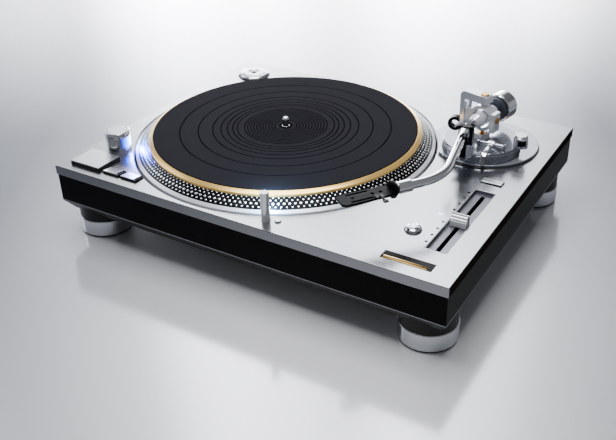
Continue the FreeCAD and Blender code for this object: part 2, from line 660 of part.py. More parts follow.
def makeArmBase():
    centre = ("pivotX", "pivotY")
    collar = rod("surroundCollar", "surroundRadius", "plateTop + surroundRise - webTop", *centre, "webTop")
    lobe = cone("surroundLobe", "lobeRadius", "lobeRadius - lobeSlope", "lobeTop - plateTop",
                "pivotX + lobeShiftX", "pivotY + lobeShiftY", "plateTop")
    spare = rod("lobeSpare", "wellRadius + wellMargin", 20, "spindleX", "spindleY", "plateTop - 1")
    bore = rod("surroundBore", "surroundInner", 60, *centre, "webTop - 10")
    ledge = tube("surroundLedge", "surroundInner + 0.5", 36, 2, *centre, "ringBottom - 2.3")
    lockHole = rod("lockHole", 2.3, 8, "pivotX + lockX", "pivotY + lockY", "lobeTop - 5")
    ringed = cut("surroundOpen", fuse("surroundSolid", collar, cut("lobeCut", lobe, spare)), bore)
    node("arm_surround", cut("armSurround", fuse("surroundWhole", ringed, ledge), lockHole))

    ring = turned("heightRing", [
        ("ringInner", "ringBottom"), ("ringRadius", "ringBottom"), ("ringRadius", "ringTop - 0.6"),
        ("ringRadius - 0.6", "ringTop"), ("ringInner", "ringTop")])
    node("height_ring", place(ring, *centre))

    under = "ringTop + platformGap"
    disc = rod("platformDisc", "platformRadius", f"platformTop - ({under})", *centre, under)
    stem = tube("platformStem", "stemRadius", "stemInner", f"{under} - 68", *centre, 68)
    restPad = box("restPad", 20, 15, f"platformTop - ({under})", 0, 0, 0)
    place(restPad, *armPoint("restForward - 12", "restRight - 7.5"), under, "armTurn")
    skate = ("pivotX + skateX", "pivotY + skateY")
    ear = rod("skateEar", "skateRadius", f"platformTop - ({under})", *skate, under)
    earHole = rod("earHole", 2.3, 20, *skate, "lobeTop - 1")
    cueX, cueY = "pivotX + 25 * cos(237)", "pivotY + 25 * sin(237)"
    cueBoss = rod("cueBoss", 5, 7, cueX, cueY, "platformTop")
    cueHole = rod("cueHole", 2.3, 14, cueX, cueY, "platformTop - 2")
    cheeks = []
    for side in (-1, 1):
        cheeks.append(box(f"leverCheek{side + 1}", 2, 5, "leverRise + axleRadius",
                          f"pivotX + leverX + {side} * (axleLong / 2 - 1)", "pivotY + leverY", "platformTop"))
    axle = lyingRod("leverAxle", "axleRadius", "axleLong", "pivotX + leverX - axleLong / 2",
                    "pivotY + leverY", "platformTop + leverRise", "x")
    whole = fuse("platformWhole", disc, stem, restPad, ear, cueBoss, *cheeks, axle)
    node("arm_platform", cut("armPlatform", whole, earHole, cueHole))


makeArmBase()


def makeArmBaseLevers():
    lock = "lobeTop + 0.3"
    hub = rod("lockHub", 4.5, 4, "pivotX + lockX", "pivotY + lockY", lock)
    stem = rod("lockStem", 2, 3.2, "pivotX + lockX", "pivotY + lockY", f"{lock} - 3")
    bar = box("lockBar", 19, 5, 3, 0, 0, 0)
    place(bar, "pivotX + lockX + 2.5 * sin(105)", "pivotY + lockY - 2.5 * cos(105)", f"{lock} + 0.6", 105)
    node("lock_lever", fuse("lockLever", hub, stem, bar))

    knob = turned("antiSkate", [
        (0, "ringTop + 0.4"), (2, "ringTop + 0.4"), (2, "platformTop + 0.3"),
        ("skateRadius", "platformTop + 0.3"), ("skateRadius", "skateTop - 2.4"),
        ("skateRadius - 0.8", "skateTop - 1.6"), ("skateRadius - 0.8", "skateTop - 0.5"),
        ("skateRadius - 1.3", "skateTop"), (0, "skateTop")])
    node("anti_skate_knob", place(knob, "pivotX + skateX", "pivotY + skateY"))

    hub = lyingRod("leverHub", "axleRadius + 1.6", "handleWide + 2", "-handleWide / 2 - 1", 0, 0, "x")
    bore = lyingRod("leverBore", "axleRadius + 0.05", 20, -10, 0, 0, "x")
    handle = newBody("leverHandle")
    side = sketchOn(handle, "handleSide", "YZ_Plane")
    polygon(side, [(-1, -1.4), (-19, -3.8), (-21.3, -5), (-22.5, -14), (-24.7, -14), (-23.7, -3.6),
                   (-20.4, -1.4), (-1, 1.4)])
    padded(handle, side, "handleWide", symmetric=True)
    lever = cut("cueLever", fuse("leverSolid", hub, handle), bore)
    node("cue_lever", place(lever, "pivotX + leverX", "pivotY + leverY", "platformTop + leverRise"))

    cueX, cueY = "pivotX + 25 * cos(237)", "pivotY + 25 * sin(237)"
    plunger = rod("cuePlunger", 2, "armHeight - tubeRadius - 5.8 - platformTop", cueX, cueY,
                  "platformTop + 1")
    arcs = []
    for name, radius in (("cueArcOuter", 26.2), ("cueArcInner", 23.8)):
        arc = rod(name, radius, 1.9 if radius > 25 else 4, 0, 0, 0)
        arc.Angle = 64 if radius > 25 else 360
        arcs.append(arc)
    place(arcs[0], "pivotX", "pivotY", "armHeight - tubeRadius - 4.9", 205)
    place(arcs[1], "pivotX", "pivotY", "armHeight - tubeRadius - 6", 0)
    node("cue_lift", fuse("cueLift", cut("cueArc", *arcs), plunger))


makeArmBaseLevers()


# Yoke, gimbal ring and their pivots


def makeYoke():
    body = newBody("yoke")
    side = sketchOn(body, "yokeSide", "XZ_Plane")
    polygon(side, [("-yokeReach", 0), ("yokeNose", 0), ("yokeNose", "yokeFoot"),
                   ("yokeLeg - yokeReach", "yokeFoot"), ("yokeLeg - yokeReach", "yokeTall - yokeBeam"),
                   ("yokeNose", "yokeTall - yokeBeam"), ("yokeNose", "yokeTall - 1.5"),
                   ("yokeNose - 1.5", "yokeTall"), ("4 - yokeReach", "yokeTall"),
                   ("-yokeReach", "yokeTall - 4")])
    padded(body, side, "yokeDepth", symmetric=True)
    holes = sketchOn(body, "yokeHoles")
    circle(holes, 0, 0, "pinThin + 0.3")
    pocketed(body, holes, upwards=True)
    node("yoke", place(body, "pivotX", "pivotY", "platformTop", "yokeTurn"))
    upper = turned("upperPivot", [
        (0, "armHeight + 12"), ("pinThin - 0.4", "armHeight + 12"), ("pinThin", "armHeight + 12.5"),
        ("pinThin", "platformTop + yokeTall"), (4.4, "platformTop + yokeTall"),
        (4.4, "platformTop + yokeTall + 1.2"), (4, "platformTop + yokeTall + 1.6"),
        (0, "platformTop + yokeTall + 1.6")])
    foot = "platformTop + yokeFoot"
    lower = turned("lowerPivot", [
        (0, foot), (4.5, foot), (4.5, f"{foot} + 0.7"), ("pinThin", f"{foot} + 0.7"),
        ("pinThin", "armHeight - 11.8"), ("pinThin - 0.4", "armHeight - 11.3"),
        (0, "armHeight - 11.3")])
    node("yoke_pivots", group("yokePivots", place(upper, "pivotX", "pivotY"),
                              place(lower, "pivotX", "pivotY")))


makeYoke()


def inArmFrame(item):
    """Everything of the arm is drawn along x about its pivot, then turned to where it rests."""
    return place(item, "pivotX", "pivotY", "armHeight", "armTurn")


def makeGimbal():
    ring = lyingRod("gimbalRound", "ringOuter", "ringLong", "-ringLong / 2", 0, 0, "x")
    post = rod("gimbalPost", 4, "2 * bossRise - 1.5", 0, 0, "1.5 - bossRise")
    blocks = [box(f"gimbalBlock{side + 1}", "ringLong + 2", 5, "blockTall", 0, side * 13.8,
                  "blockTop - blockTall") for side in (-1, 1)]
    hollow = lyingRod("gimbalHollow", "ringHollow", 40, -20, 0, 0, "x")
    upright = rod("gimbalUpright", "pinThin + pinFit", 60, 0, 0, -30)
    across = lyingRod("gimbalAcross", "pinThin + 0.3", 60, 0, -30, 0)
    ringed = cut("gimbalRing", fuse("gimbalSolid", ring, post, *blocks), hollow, upright, across)
    node("gimbal_ring", inArmFrame(ringed))
    pins = []
    for side in (-1, 1):
        near, far = (5.2, 16.3) if side > 0 else (-16.3, -5.2)
        shaft = lyingRod(f"gimbalPin{side + 1}", "pinThin", far - near, 0, near, 0)
        head = lyingRod(f"gimbalHead{side + 1}", 3.2, 1.2, 0, 16.3 if side > 0 else -17.5, 0)
        pins.append(fuse(f"gimbalPivot{side + 1}", shaft, head))
    node("gimbal_pivots", inArmFrame(group("gimbalPivots", *pins)))


makeGimbal()


# Arm: housing with the rear shaft, S-shaped tube, collar, headshell, weight and dial


def makeHousing():
    body = turned("housingTurned", [
        ("-rearEnd", 0), ("-rearEnd", "rearShaft - 0.5"), ("0.5 - rearEnd", "rearShaft"),
        ("-armBack", "rearShaft"), ("-armBack", "housingBarrel - 0.6"),
        ("0.6 - armBack", "housingBarrel"), ("armFront", "housingBarrel"), ("housingFront", 4.9),
        ("housingFront", 0)], "H_Axis")
    bosses = lyingRod("housingBosses", 3.4, 19.2, 0, -9.6, 0)
    bores = [lyingRod(f"housingBore{side + 1}", "pinThin + pinFit", 8, 0, 4.6 if side > 0 else -12.6, 0)
             for side in (-1, 1)]
    node("arm_housing", inArmFrame(cut("armHousing", fuse("housingSolid", body, bosses), *bores)))


makeHousing()


def makeTube():
    """The tube is a chain of straight rods and ring sectors that follow each other's headings."""
    first, last = "bendOneTurn", "(bendOneTurn - bendTwoTurn)"
    startX = "housingFront + straightOne"
    bentX = f"({startX} + bendOneRadius * sin({first}))"
    bentY = f"(bendOneRadius * (1 - cos({first})))"
    centreX = f"({bentX} + straightTwo * cos({first}) + bendTwoRadius * sin({first}))"
    centreY = f"({bentY} + straightTwo * sin({first}) - bendTwoRadius * cos({first}))"
    outX = f"({centreX} - bendTwoRadius * sin({last}))"
    outY = f"({centreY} + bendTwoRadius * cos({last}))"
    endX = f"({outX} + straightThree * cos({last}))"
    endY = f"({outY} + straightThree * sin({last}))"
    links = [("straightOne", "housingFront", 0, 0), ("straightTwo", bentX, bentY, first),
             ("straightThree", outX, outY, last)]
    pieces = []
    for number, (length, x, y, heading) in enumerate(links):
        straight = group(f"straightTurned{number}",
                         lyingRod(f"straight{number}", "tubeRadius", length, 0, 0, 0, "x"))
        pieces.append(place(straight, x, y, 0, heading))
    bends = [("bendOneRadius", "bendOneTurn", startX, "bendOneRadius", -90),
             ("bendTwoRadius", "bendTwoTurn", centreX, centreY, f"{last} + 90")]
    for number, (radius, sweep, x, y, heading) in enumerate(bends):
        ringed = bind(doc.addObject("Part::Torus", f"bend{number}"), Radius1=radius,
                      Radius2="tubeRadius", Angle3=sweep)
        pieces.append(place(ringed, x, y, 0, heading))
    socket = group("tubeSocketTurned", lyingRod("tubeSocket", 3.3, 14, -12, 0, 0, "x"))
    place(socket, endX, endY, 0, last)
    node("arm_tube", inArmFrame(cut("armTube", fuse("tubeChain", *pieces), socket)))
    return endX, endY, last


headX, headY, headTurn = makeTube()


def inHeadFrame(item):
    """The headshell's frame starts at the end of the tube, x along the shell."""
    x, y = armPoint(headX, headY)
    return place(item, x, y, "armHeight", f"armTurn + {headTurn}")


def makeHeadshell():
    nut = turned("collarNut", [
        ("-collarLong", 4.7), ("-collarLong", "collarRadius - 0.5"), ("0.5 - collarLong", "collarRadius"),
        (-0.8, "collarRadius"), (-0.3, "collarRadius - 0.5"), (-0.3, 4.7)], "H_Axis")
    node("collar_nut", inHeadFrame(nut))
    neck = turned("shellNeck", [
        (-10, 0), (-10, 2.6), (-9.6, 3), (0.3, 3), (0.3, 5.9), (3.4, "flangeRadius"),
        (5.4, "flangeRadius"), (5.4, 0)], "H_Axis")
    body = newBody("shellPlate")
    outline = sketchOn(body, "shellShape")
    half = "shellWidth / 2"
    polygon(outline, [(4, -6), (4, 6), (11, half), ("shellLong - 3", half), ("shellLong", f"{half} - 3"),
                      ("shellLong", f"3 - {half}"), ("shellLong - 3", f"-{half}"), (11, f"-{half}")])
    padded(body, outline, "shellThick")
    slots = sketchOn(body, "shellSlots")
    for side in (-1, 1):
        rectangle(slots, "shellLong - 20", f"{side} * slotPitch / 2", "mountSlotLong", "mountSlot")
    for x in (16, 24, 44):
        circle(slots, x, 0, 1.8)
    pocketed(body, slots, upwards=True)
    place(body, z="-1.4")
    node("headshell", inHeadFrame(fuse("headshell", neck, body)))
    tab = box("liftTab", 8, 5, 1.2, "liftFrom", f"{half} - 0.9", "shellThick - 1.4")
    finger = lyingRod("liftFinger", 1, "liftLong", "liftFrom", f"{half} - 1", "shellThick + 0.2")
    tip = box("liftTip", 4.4, 3.4, 1.6, "liftFrom", f"{half} + liftLong - 0.5", "shellThick - 0.6")
    node("finger_lift", inHeadFrame(fuse("fingerLift", tab, finger, tip)))


makeHeadshell()


def makeWeight():
    back = "(weightFront + weightLong)"
    weight = turned("counterweight", [
        (f"-{back}", "rearShaft + pinFit"), (f"-{back}", "weightRadius - 1"),
        (f"1 - {back}", "weightRadius"), ("-weightFront - 1", "weightRadius"),
        ("-weightFront", "weightRadius - 1"), ("-weightFront", "rearShaft + pinFit")], "H_Axis")
    node("counterweight", inArmFrame(weight))
    rear = "(dialFront + dialLong)"
    dial = turned("forceDial", [
        (f"-{rear}", "rearShaft + 0.3"), (f"-{rear}", "dialRadius - 0.5"),
        (f"0.5 - {rear}", "dialRadius"), ("-dialFront - 0.8", "dialRadius"),
        ("-dialFront", "dialRadius - 1.6"), ("-dialFront", "rearShaft + 0.3")], "H_Axis")
    node("force_dial", inArmFrame(dial))


makeWeight()


# Arm rest: a saddle just under the tube, open towards the platter, and its clip


def makeRest():
    def inRestFrame(item):
        x, y = armPoint("restForward", "restRight")
        return place(item, x, y, "platformTop", "armTurn + bendOneTurn")

    floor = "armHeight - platformTop - tubeRadius - 0.5"
    post = rod("restPost", "restRadius", f"{floor} - 2", 0, 0, 0)
    saddle = box("restSaddle", 9.9, "restWall + 6.9", 4, 0, "restWall / 2 - 1.75", f"{floor} - 4")
    wall = box("restWallBlock", 9.9, 3.4, 13.5, 0, "restWall", f"{floor} - 4")
    cheeks = [box(f"restCheek{side + 1}", 1.2, 3.4, 8, side * 4.35, "restWall", f"{floor} + 8.5")
              for side in (-1, 1)]
    hinge = "armHeight - platformTop + clipRise"
    pinned = lyingRod("restPin", 1, 9.9, -4.95, "restWall", hinge, "x")
    node("arm_rest", inRestFrame(fuse("armRest", post, saddle, wall, *cheeks, pinned)))

    hub = lyingRod("clipHub", 2.4, 7, -3.5, "restWall", hinge, "x")
    band = box("clipBand", 7, "restWall + 7.9", 1.8, 0, "restWall / 2 - 3.95", f"{hinge} + 0.6")
    curl = ("-hookOut", f"{hinge} + 0.6 + hookRadius - hookThick")
    hook = lyingRod("clipHook", "hookRadius", 7, -3.5, *curl, "x")
    hookSpace = lyingRod("clipHookSpace", "hookRadius - hookThick", 9, -4.5, *curl, "x")
    hookOpen = box("clipHookOpen", 9, 10, 13, 0, -0.6, f"{hinge} + 3.4")
    bore = lyingRod("clipBore", 1.05, 9, -4.5, "restWall", hinge, "x")
    ringed = cut("clipHooked", hook, hookSpace, hookOpen)
    node("arm_clip", inRestFrame(cut("armClip", fuse("clipSolid", hub, band, ringed), bore)))


makeRest()


# Rear panels: two phono sockets with a ground post, and a three-pin mains inlet


def makeRearPanels():
    floor = "bodyDepth / 2 - cabinetInset - panelDeep"
    plate = box("signalPlate", "panelWidth - 0.6", 2, "panelTall - 0.6", "signalX", f"{floor} + 1",
                "socketZ - panelTall / 2 + 0.3")
    parts = [plate]
    bores = []
    for side in (-1, 1):
        x = f"signalX - 10 + {side} * phonoPitch / 2"
        parts.append(lyingRod(f"phono{side + 1}", "phonoRadius", "phonoLong + 1", x, f"{floor} + 1",
                              "socketZ"))
        parts.append(lyingRod(f"phonoCollar{side + 1}", 5.6, 3, x, f"{floor} + 1", "socketZ"))
        bores.append(lyingRod(f"phonoBore{side + 1}", 1.6, 9, x, f"{floor} + 4", "socketZ"))
    parts.append(lyingRod("groundPost", 2, 12, "signalX + 18", f"{floor} + 1", "socketZ"))
    parts.append(lyingRod("groundNut", 5, 4, "signalX + 18", f"{floor} + 5", "socketZ"))
    node("signal_terminals", cut("signalTerminals", fuse("signalSolid", *parts), *bores))

    block = box("inletBlock", "inletWide", "panelDeep - 0.5", "inletTall", "mainsX",
                f"{floor} + (panelDeep - 0.5) / 2", "socketZ - inletTall / 2")
    cavity = box("inletCavity", 24.2, "panelDeep", 16.4, "mainsX", f"{floor} + panelDeep / 2 + 2.5",
                 "socketZ - 8.2")
    blades = [box(f"blade{i}", 2, 11, 4, f"mainsX + {dx}", f"{floor} + 7.5", f"socketZ + {dz} - 2")
              for i, (dx, dz) in enumerate(((-7, -2), (7, -2), (0, 2)))]
    node("mains_inlet", fuse("mainsInlet", cut("inletHollow", block, cavity), *blades))


makeRearPanels()

doc.recompute()
for item in doc.Objects:
    if "Invalid" in item.State or "Error" in item.State:
        raise RuntimeError(f"{item.Name} did not rebuild")

os.makedirs("parts", exist_ok=True)
for item in subparts:
    if item.Shape.isNull() or not item.Shape.isValid():
        raise RuntimeError(f"{item.Label} has no valid shape")
    item.Shape.exportStep(os.path.join("parts", item.Label + ".step"))
print(len(subparts), "pieces written")
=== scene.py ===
import json
import math

import bpy
import numpy as np
from mathutils import Matrix, Vector


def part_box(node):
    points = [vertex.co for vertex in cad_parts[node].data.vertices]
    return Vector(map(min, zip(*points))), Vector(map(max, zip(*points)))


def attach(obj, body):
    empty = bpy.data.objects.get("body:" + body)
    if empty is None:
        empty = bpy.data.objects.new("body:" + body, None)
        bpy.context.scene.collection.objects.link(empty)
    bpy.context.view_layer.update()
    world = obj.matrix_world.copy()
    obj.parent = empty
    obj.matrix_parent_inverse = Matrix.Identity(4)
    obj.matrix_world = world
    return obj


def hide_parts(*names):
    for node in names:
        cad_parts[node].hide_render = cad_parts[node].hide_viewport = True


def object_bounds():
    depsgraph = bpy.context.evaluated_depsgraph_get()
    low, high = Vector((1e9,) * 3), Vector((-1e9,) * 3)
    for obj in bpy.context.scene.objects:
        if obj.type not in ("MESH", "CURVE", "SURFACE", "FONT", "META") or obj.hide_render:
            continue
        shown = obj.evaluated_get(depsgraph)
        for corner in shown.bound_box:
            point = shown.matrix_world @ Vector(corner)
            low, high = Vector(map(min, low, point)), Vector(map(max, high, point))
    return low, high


# A direct-drive turntable on a glossy studio table. Metres, +Z up, front towards -Y.
# Sizes in the dictionaries are millimetres, turned to metres where a mesh is made.

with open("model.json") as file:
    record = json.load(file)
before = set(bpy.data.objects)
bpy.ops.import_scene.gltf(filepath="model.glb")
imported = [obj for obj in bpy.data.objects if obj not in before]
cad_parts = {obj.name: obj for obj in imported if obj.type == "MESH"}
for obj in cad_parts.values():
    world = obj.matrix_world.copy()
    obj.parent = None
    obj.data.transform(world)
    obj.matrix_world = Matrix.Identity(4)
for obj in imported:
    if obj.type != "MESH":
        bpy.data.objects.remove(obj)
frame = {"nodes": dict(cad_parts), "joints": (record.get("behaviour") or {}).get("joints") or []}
cadLow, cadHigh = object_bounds()
nodes = frame["nodes"]
mm = 0.001
print("frame loaded:", len(nodes), "nodes")


def jointPlace(name):
    return np.array([item["pos_m"] for item in frame["joints"] if item["name"] == name][0]) / mm


def jointAxis(name):
    return np.array([item["axis"] for item in frame["joints"] if item["name"] == name][0], float)


def nodeBox(name):
    low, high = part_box(name)
    return np.array(low) / mm, np.array(high) / mm


# Meshes

def gridMesh(name, points, closeU=False, closeV=False, capStart=False, capEnd=False):
    # points[u, v] are joined to their neighbours; a closed direction joins its last row to its first.
    # a cap is one many-sided face over the first or last row
    rows, columns = points.shape[:2]
    index = np.arange(rows * columns).reshape(rows, columns)
    if closeU:
        index = np.vstack([index, index[:1]])
    if closeV:
        index = np.hstack([index, index[:, :1]])
    quads = np.stack([index[:-1, :-1], index[1:, :-1], index[1:, 1:], index[:-1, 1:]], axis=-1)
    faces = quads.reshape(-1, 4).tolist()
    if capStart:
        faces.append(index[0, :columns].tolist())
    if capEnd:
        faces.append(index[rows - 1, :columns][::-1].tolist())
    mesh = bpy.data.meshes.new(name)
    mesh.from_pydata((points.reshape(-1, 3) * mm).tolist(), [], faces)
    mesh.validate()
    mesh.shade_smooth()
    return mesh


def addPiece(name, mesh, body, material, sharp=40):
    # a finished piece: its normals outwards, hard edges kept, riding on its body
    piece = bpy.data.objects.new(name, mesh)
    bpy.context.scene.collection.objects.link(piece)
    bpy.ops.object.select_all(action="DESELECT")
    bpy.context.view_layer.objects.active = piece
    piece.select_set(True)
    bpy.ops.object.mode_set(mode="EDIT")
    bpy.ops.mesh.select_all(action="SELECT")
    bpy.ops.mesh.remove_doubles(threshold=1e-6)
    bpy.ops.mesh.normals_make_consistent(inside=False)
    bpy.ops.object.mode_set(mode="OBJECT")
    piece.data.set_sharp_from_angle(angle=math.radians(sharp))
    piece.select_set(False)
    piece.data.materials.clear()
    piece.data.materials.append(material)
    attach(piece, body)
    return piece


def lathePoints(profile, steps, centre=(0, 0, 0), sweep=360, start=0):
    # a (radius, height) profile carried round the vertical axis through centre
    profile = np.array(profile, float)
    turn = np.radians(start + np.linspace(0, sweep, steps, endpoint=sweep < 360))
    radius, height = profile[:, 0], profile[:, 1]
    points = np.empty((len(profile), len(turn), 3))
    points[..., 0] = radius[:, None] * np.cos(turn)
    points[..., 1] = radius[:, None] * np.sin(turn)
    points[..., 2] = height[:, None]
    return points + np.array(centre, float)


def roundedOutline(width, depth, corner, steps=6):
    # a rectangle with quarter-circle corners, counter-clockwise from the front right
    angles = np.linspace(0, math.pi / 2, steps)
    middles = np.array([(1, -1), (1, 1), (-1, 1), (-1, -1)]) * (width / 2 - corner, depth / 2 - corner)
    starts = np.array([-math.pi / 2, 0, math.pi / 2, math.pi])
    turn = starts[:, None] + angles
    ring = np.stack([np.cos(turn), np.sin(turn)], axis=-1) * corner
    return (middles[:, None] + ring).reshape(-1, 2)


def slabPoints(width, depth, corner, layers, centre):
    # rounded rectangles stacked upwards: each layer is (inset, height), so the last ones round the edge
    rows = []
    for inset, height in layers:
        ring = roundedOutline(width - 2 * inset, depth - 2 * inset, max(corner - inset, 0.05))
        rows.append(np.column_stack([ring, np.full(len(ring), height)]))
    return np.array(rows) + np.array(centre, float)


def manyMesh(name, copies):
    # every copy is a small grid, closed round its second direction and by one face at each end
    count, rows, columns = copies.shape[:3]
    index = np.arange(count * rows * columns).reshape(count, rows, columns)
    around = np.concatenate([index, index[:, :, :1]], axis=2)
    quads = np.stack([around[:, :-1, :-1], around[:, 1:, :-1], around[:, 1:, 1:], around[:, :-1, 1:]],
                     axis=-1)
    faces = quads.reshape(-1, 4).tolist()
    faces += index[:, -1, ::-1].tolist()
    faces += index[:, 0].tolist()
    mesh = bpy.data.meshes.new(name)
    mesh.from_pydata((copies.reshape(-1, 3) * mm).tolist(), [], faces)
    mesh.shade_smooth()
    return mesh


# Materials

def linear(hexText):
    # sRGB hex to linear colour
    value = np.array([int(hexText[i:i + 2], 16) for i in (1, 3, 5)]) / 255
    line = np.where(value <= 0.04045, value / 12.92, ((value + 0.055) / 1.055) ** 2.4)
    return (*line.tolist(), 1.0)


def node(tree, kind, inputs=(), **settings):
    # one node with its settings, numbers and links
    made = tree.nodes.new("ShaderNode" + kind)
    for name, value in settings.items():
        setattr(made, name, value)
    for name, value in dict(inputs).items():
        if isinstance(value, bpy.types.NodeSocket):
            tree.links.new(value, made.inputs[name])
        else:
            made.inputs[name].default_value = value
    return made


def startMaterial(name, **shader):
    # a principled shader with its numbers, and object coordinates in millimetres
    material = bpy.data.materials.new(name)
    material.use_nodes = True
    tree = material.node_tree
    tree.nodes.clear()
    base = node(tree, "BsdfPrincipled", {key.replace("_", " "): value for key, value in shader.items()})
    node(tree, "OutputMaterial", {"Surface": base.outputs["BSDF"]})
    coordinates = node(tree, "TexCoord")
    scaled = node(tree, "Mapping", {"Vector": coordinates.outputs["Object"], "Scale": (1000, 1000, 1000)})
    return material, tree, base, scaled.outputs["Vector"]


def between(tree, factor, low, high):
    # a number or colour ramp from low to high
    ramp = node(tree, "ValToRGB", {"Fac": factor})
    for stop, value in zip(ramp.color_ramp.elements, (low, high)):
        stop.color = value if isinstance(value, tuple) else (value, value, value, 1)
    return ramp.outputs["Color"]


def firstNode(material, kind="BSDF_PRINCIPLED"):
    return [item for item in material.node_tree.nodes if item.type == kind][0]


def varyRoughness(tree, base, grain, roughness):
    # a noise's middle values, carried to a range of roughness
    spread = node(tree, "MapRange", {"Value": grain, "From Min": 0.3, "From Max": 0.7,
                                     "To Min": roughness[0], "To Max": roughness[1]})
    tree.links.new(spread.outputs[0], base.inputs["Roughness"])


def roughen(tree, base, height, depth, edge=0.35):
    # a bump of real depth in millimetres over a rounded edge of real radius
    rounded = node(tree, "Bevel", {"Radius": edge * mm}, samples=4)
    bump = node(tree, "Bump", {"Height": height, "Distance": depth * mm, "Strength": 1.0,
                               "Normal": rounded.outputs["Normal"]})
    tree.links.new(bump.outputs["Normal"], base.inputs["Normal"])


def brushedMetal(name, colours, roughness, direction=(0.012, 4.0, 4.0), depth=0.004, edge=0.35, **shader):
    # metal dragged along one direction on an abrasive belt: hairlines that stretch highlights across the
    # grain. Real ones are under 0.1 mm apart, too fine to show, so they are drawn 0.25 mm apart or, where
    # direction says so, coarser
    material, tree, base, place = startMaterial(name, Metallic=1.0, Roughness=roughness[0], **shader)
    along = node(tree, "Mapping", {"Vector": place, "Scale": direction})
    fine = node(tree, "TexNoise", {"Vector": along.outputs["Vector"], "Scale": 1.0, "Detail": 4.0,
                                   "Roughness": 0.7})
    wide = node(tree, "TexNoise", {"Vector": along.outputs["Vector"], "Scale": 0.13, "Detail": 2.0})
    both = node(tree, "Math", {0: fine.outputs["Fac"], 1: wide.outputs["Fac"]}, operation="MULTIPLY_ADD")
    both.inputs[2].default_value = 0.1
    shade = between(tree, fine.outputs["Fac"], linear(colours[0]), linear(colours[1]))
    tree.links.new(shade, base.inputs["Base Color"])
    varyRoughness(tree, base, fine.outputs["Fac"], roughness)
    roughen(tree, base, both.outputs[0], depth, edge)
    return material


def turnedMetal(name, colours, roughness, centre=(0, 0, 0), axis=(0, 0, 1), pitch=0.5, depth=0.006, edge=0.3,
                metallic=1.0):
    # metal cut on a lathe: rings about its axis on the faces and round the barrel. The tool's own feed
    # of 0.1 mm is too fine to show, so the rings are drawn at the pitch given
    material, tree, base, place = startMaterial(name, Metallic=metallic, Roughness=roughness[0])
    offset = node(tree, "VectorMath", {0: place, 1: tuple(centre)}, operation="SUBTRACT")
    height = node(tree, "VectorMath", {0: offset.outputs["Vector"], 1: tuple(axis)}, operation="DOT_PRODUCT")
    alongAxis = node(tree, "VectorMath", {0: tuple(axis), "Scale": height.outputs["Value"]},
                     operation="SCALE")
    across = node(tree, "VectorMath", {0: offset.outputs["Vector"], 1: alongAxis.outputs["Vector"]},
                  operation="SUBTRACT")
    radius = node(tree, "VectorMath", {0: across.outputs["Vector"]}, operation="LENGTH")
    ring = node(tree, "CombineXYZ", {"X": radius.outputs["Value"], "Y": height.outputs["Value"]})
    grain = node(tree, "TexNoise", {"Vector": ring.outputs["Vector"], "Scale": 1 / pitch, "Detail": 3.0})
    tree.links.new(between(tree, grain.outputs["Fac"], linear(colours[0]), linear(colours[1])),
                   base.inputs["Base Color"])
    varyRoughness(tree, base, grain.outputs["Fac"], roughness)
    roughen(tree, base, grain.outputs["Fac"], depth, edge)
    return material


def grainedSurface(name, colours, roughness, grain=0.6, depth=0.02, edge=0.35, **shader):
    # paint, moulded plastic, rubber or blasted metal: an even colour with a random texture of real size
    material, tree, base, place = startMaterial(name, Roughness=roughness[0], **shader)
    fine = node(tree, "TexNoise", {"Vector": place, "Scale": 1 / grain, "Detail": 3.0})
    cloud = node(tree, "TexNoise", {"Vector": place, "Scale": 0.02, "Detail": 2.0})
    tree.links.new(between(tree, cloud.outputs["Fac"], linear(colours[0]), linear(colours[1])),
                   base.inputs["Base Color"])
    varyRoughness(tree, base, fine.outputs["Fac"], roughness)
    roughen(tree, base, fine.outputs["Fac"], depth, edge)
    return material


def glowing(name, colour, strength, glass="#dfe8ff"):
    # a clear lens with a bright lamp close behind it
    material, tree, base, place = startMaterial(
        name, Base_Color=linear(glass), Roughness=0.08, IOR=1.49, Emission_Strength=strength)
    cloud = node(tree, "TexNoise", {"Vector": place, "Scale": 0.25, "Detail": 1.0})
    shade = between(tree, cloud.outputs["Fac"], linear(colour), linear(glass))
    tree.links.new(shade, base.inputs["Emission Color"])
    return material


# Painted shade: below grooveDark the rubber's colour goes to the groove black, darkest in the grooves
mat = {"grooveDark": 97.35, "ridgeLight": 97.9, "groove": "#010101", "ridge": "#1b1b1f",
       "roughness": (0.42, 0.58), "grain": 0.625, "depth": 0.03, "edge": 0.2}


def matMaterial():
    # moulded natural rubber: an even charcoal without shine, and painted shade that darkens the grooves
    # below a height into dark rings
    material, tree, base, place = startMaterial("mouldedMatRubber", Roughness=0.6, Specular_IOR_Level=0.001)
    height = node(tree, "SeparateXYZ", {"Vector": place}).outputs["Z"]
    high = node(tree, "MapRange", {"Value": height, "From Min": mat["grooveDark"],
                                   "From Max": mat["ridgeLight"]}).outputs[0]
    shade = between(tree, high, linear(mat["groove"]), linear(mat["ridge"]))
    tree.links.new(shade, base.inputs["Base Color"])
    fine = node(tree, "TexNoise", {"Vector": place, "Scale": 1 / mat["grain"], "Detail": 3.0})
    spread = node(tree, "MapRange", {"Value": fine.outputs["Fac"], "To Min": mat["roughness"][0],
                                     "To Max": mat["roughness"][1]})
    tree.links.new(spread.outputs[0], base.inputs["Roughness"])
    roughen(tree, base, fine.outputs["Fac"], mat["depth"], mat["edge"])
    return material


def blackWalls(material, sideColour, roughness=0.35, limit=0.6):
    # a key: its own finish on the top and a black wall below, partly black anodising and partly painted
    # shade, told apart by which way a face points
    tree = material.node_tree
    wall = node(tree, "BsdfPrincipled", {"Base Color": linear(sideColour), "Roughness": roughness})
    facing = node(tree, "TexCoord")
    up = node(tree, "SeparateXYZ", {"Vector": facing.outputs["Normal"]}).outputs["Z"]
    top = node(tree, "MapRange", {"Value": up, "From Min": limit - 0.1, "From Max": limit + 0.1}).outputs[0]
    mixed = node(tree, "MixShader", {0: top, 1: wall.outputs["BSDF"], 2: firstNode(material).outputs["BSDF"]})
    tree.links.new(mixed.outputs[0], firstNode(material, "OUTPUT_MATERIAL").inputs["Surface"])


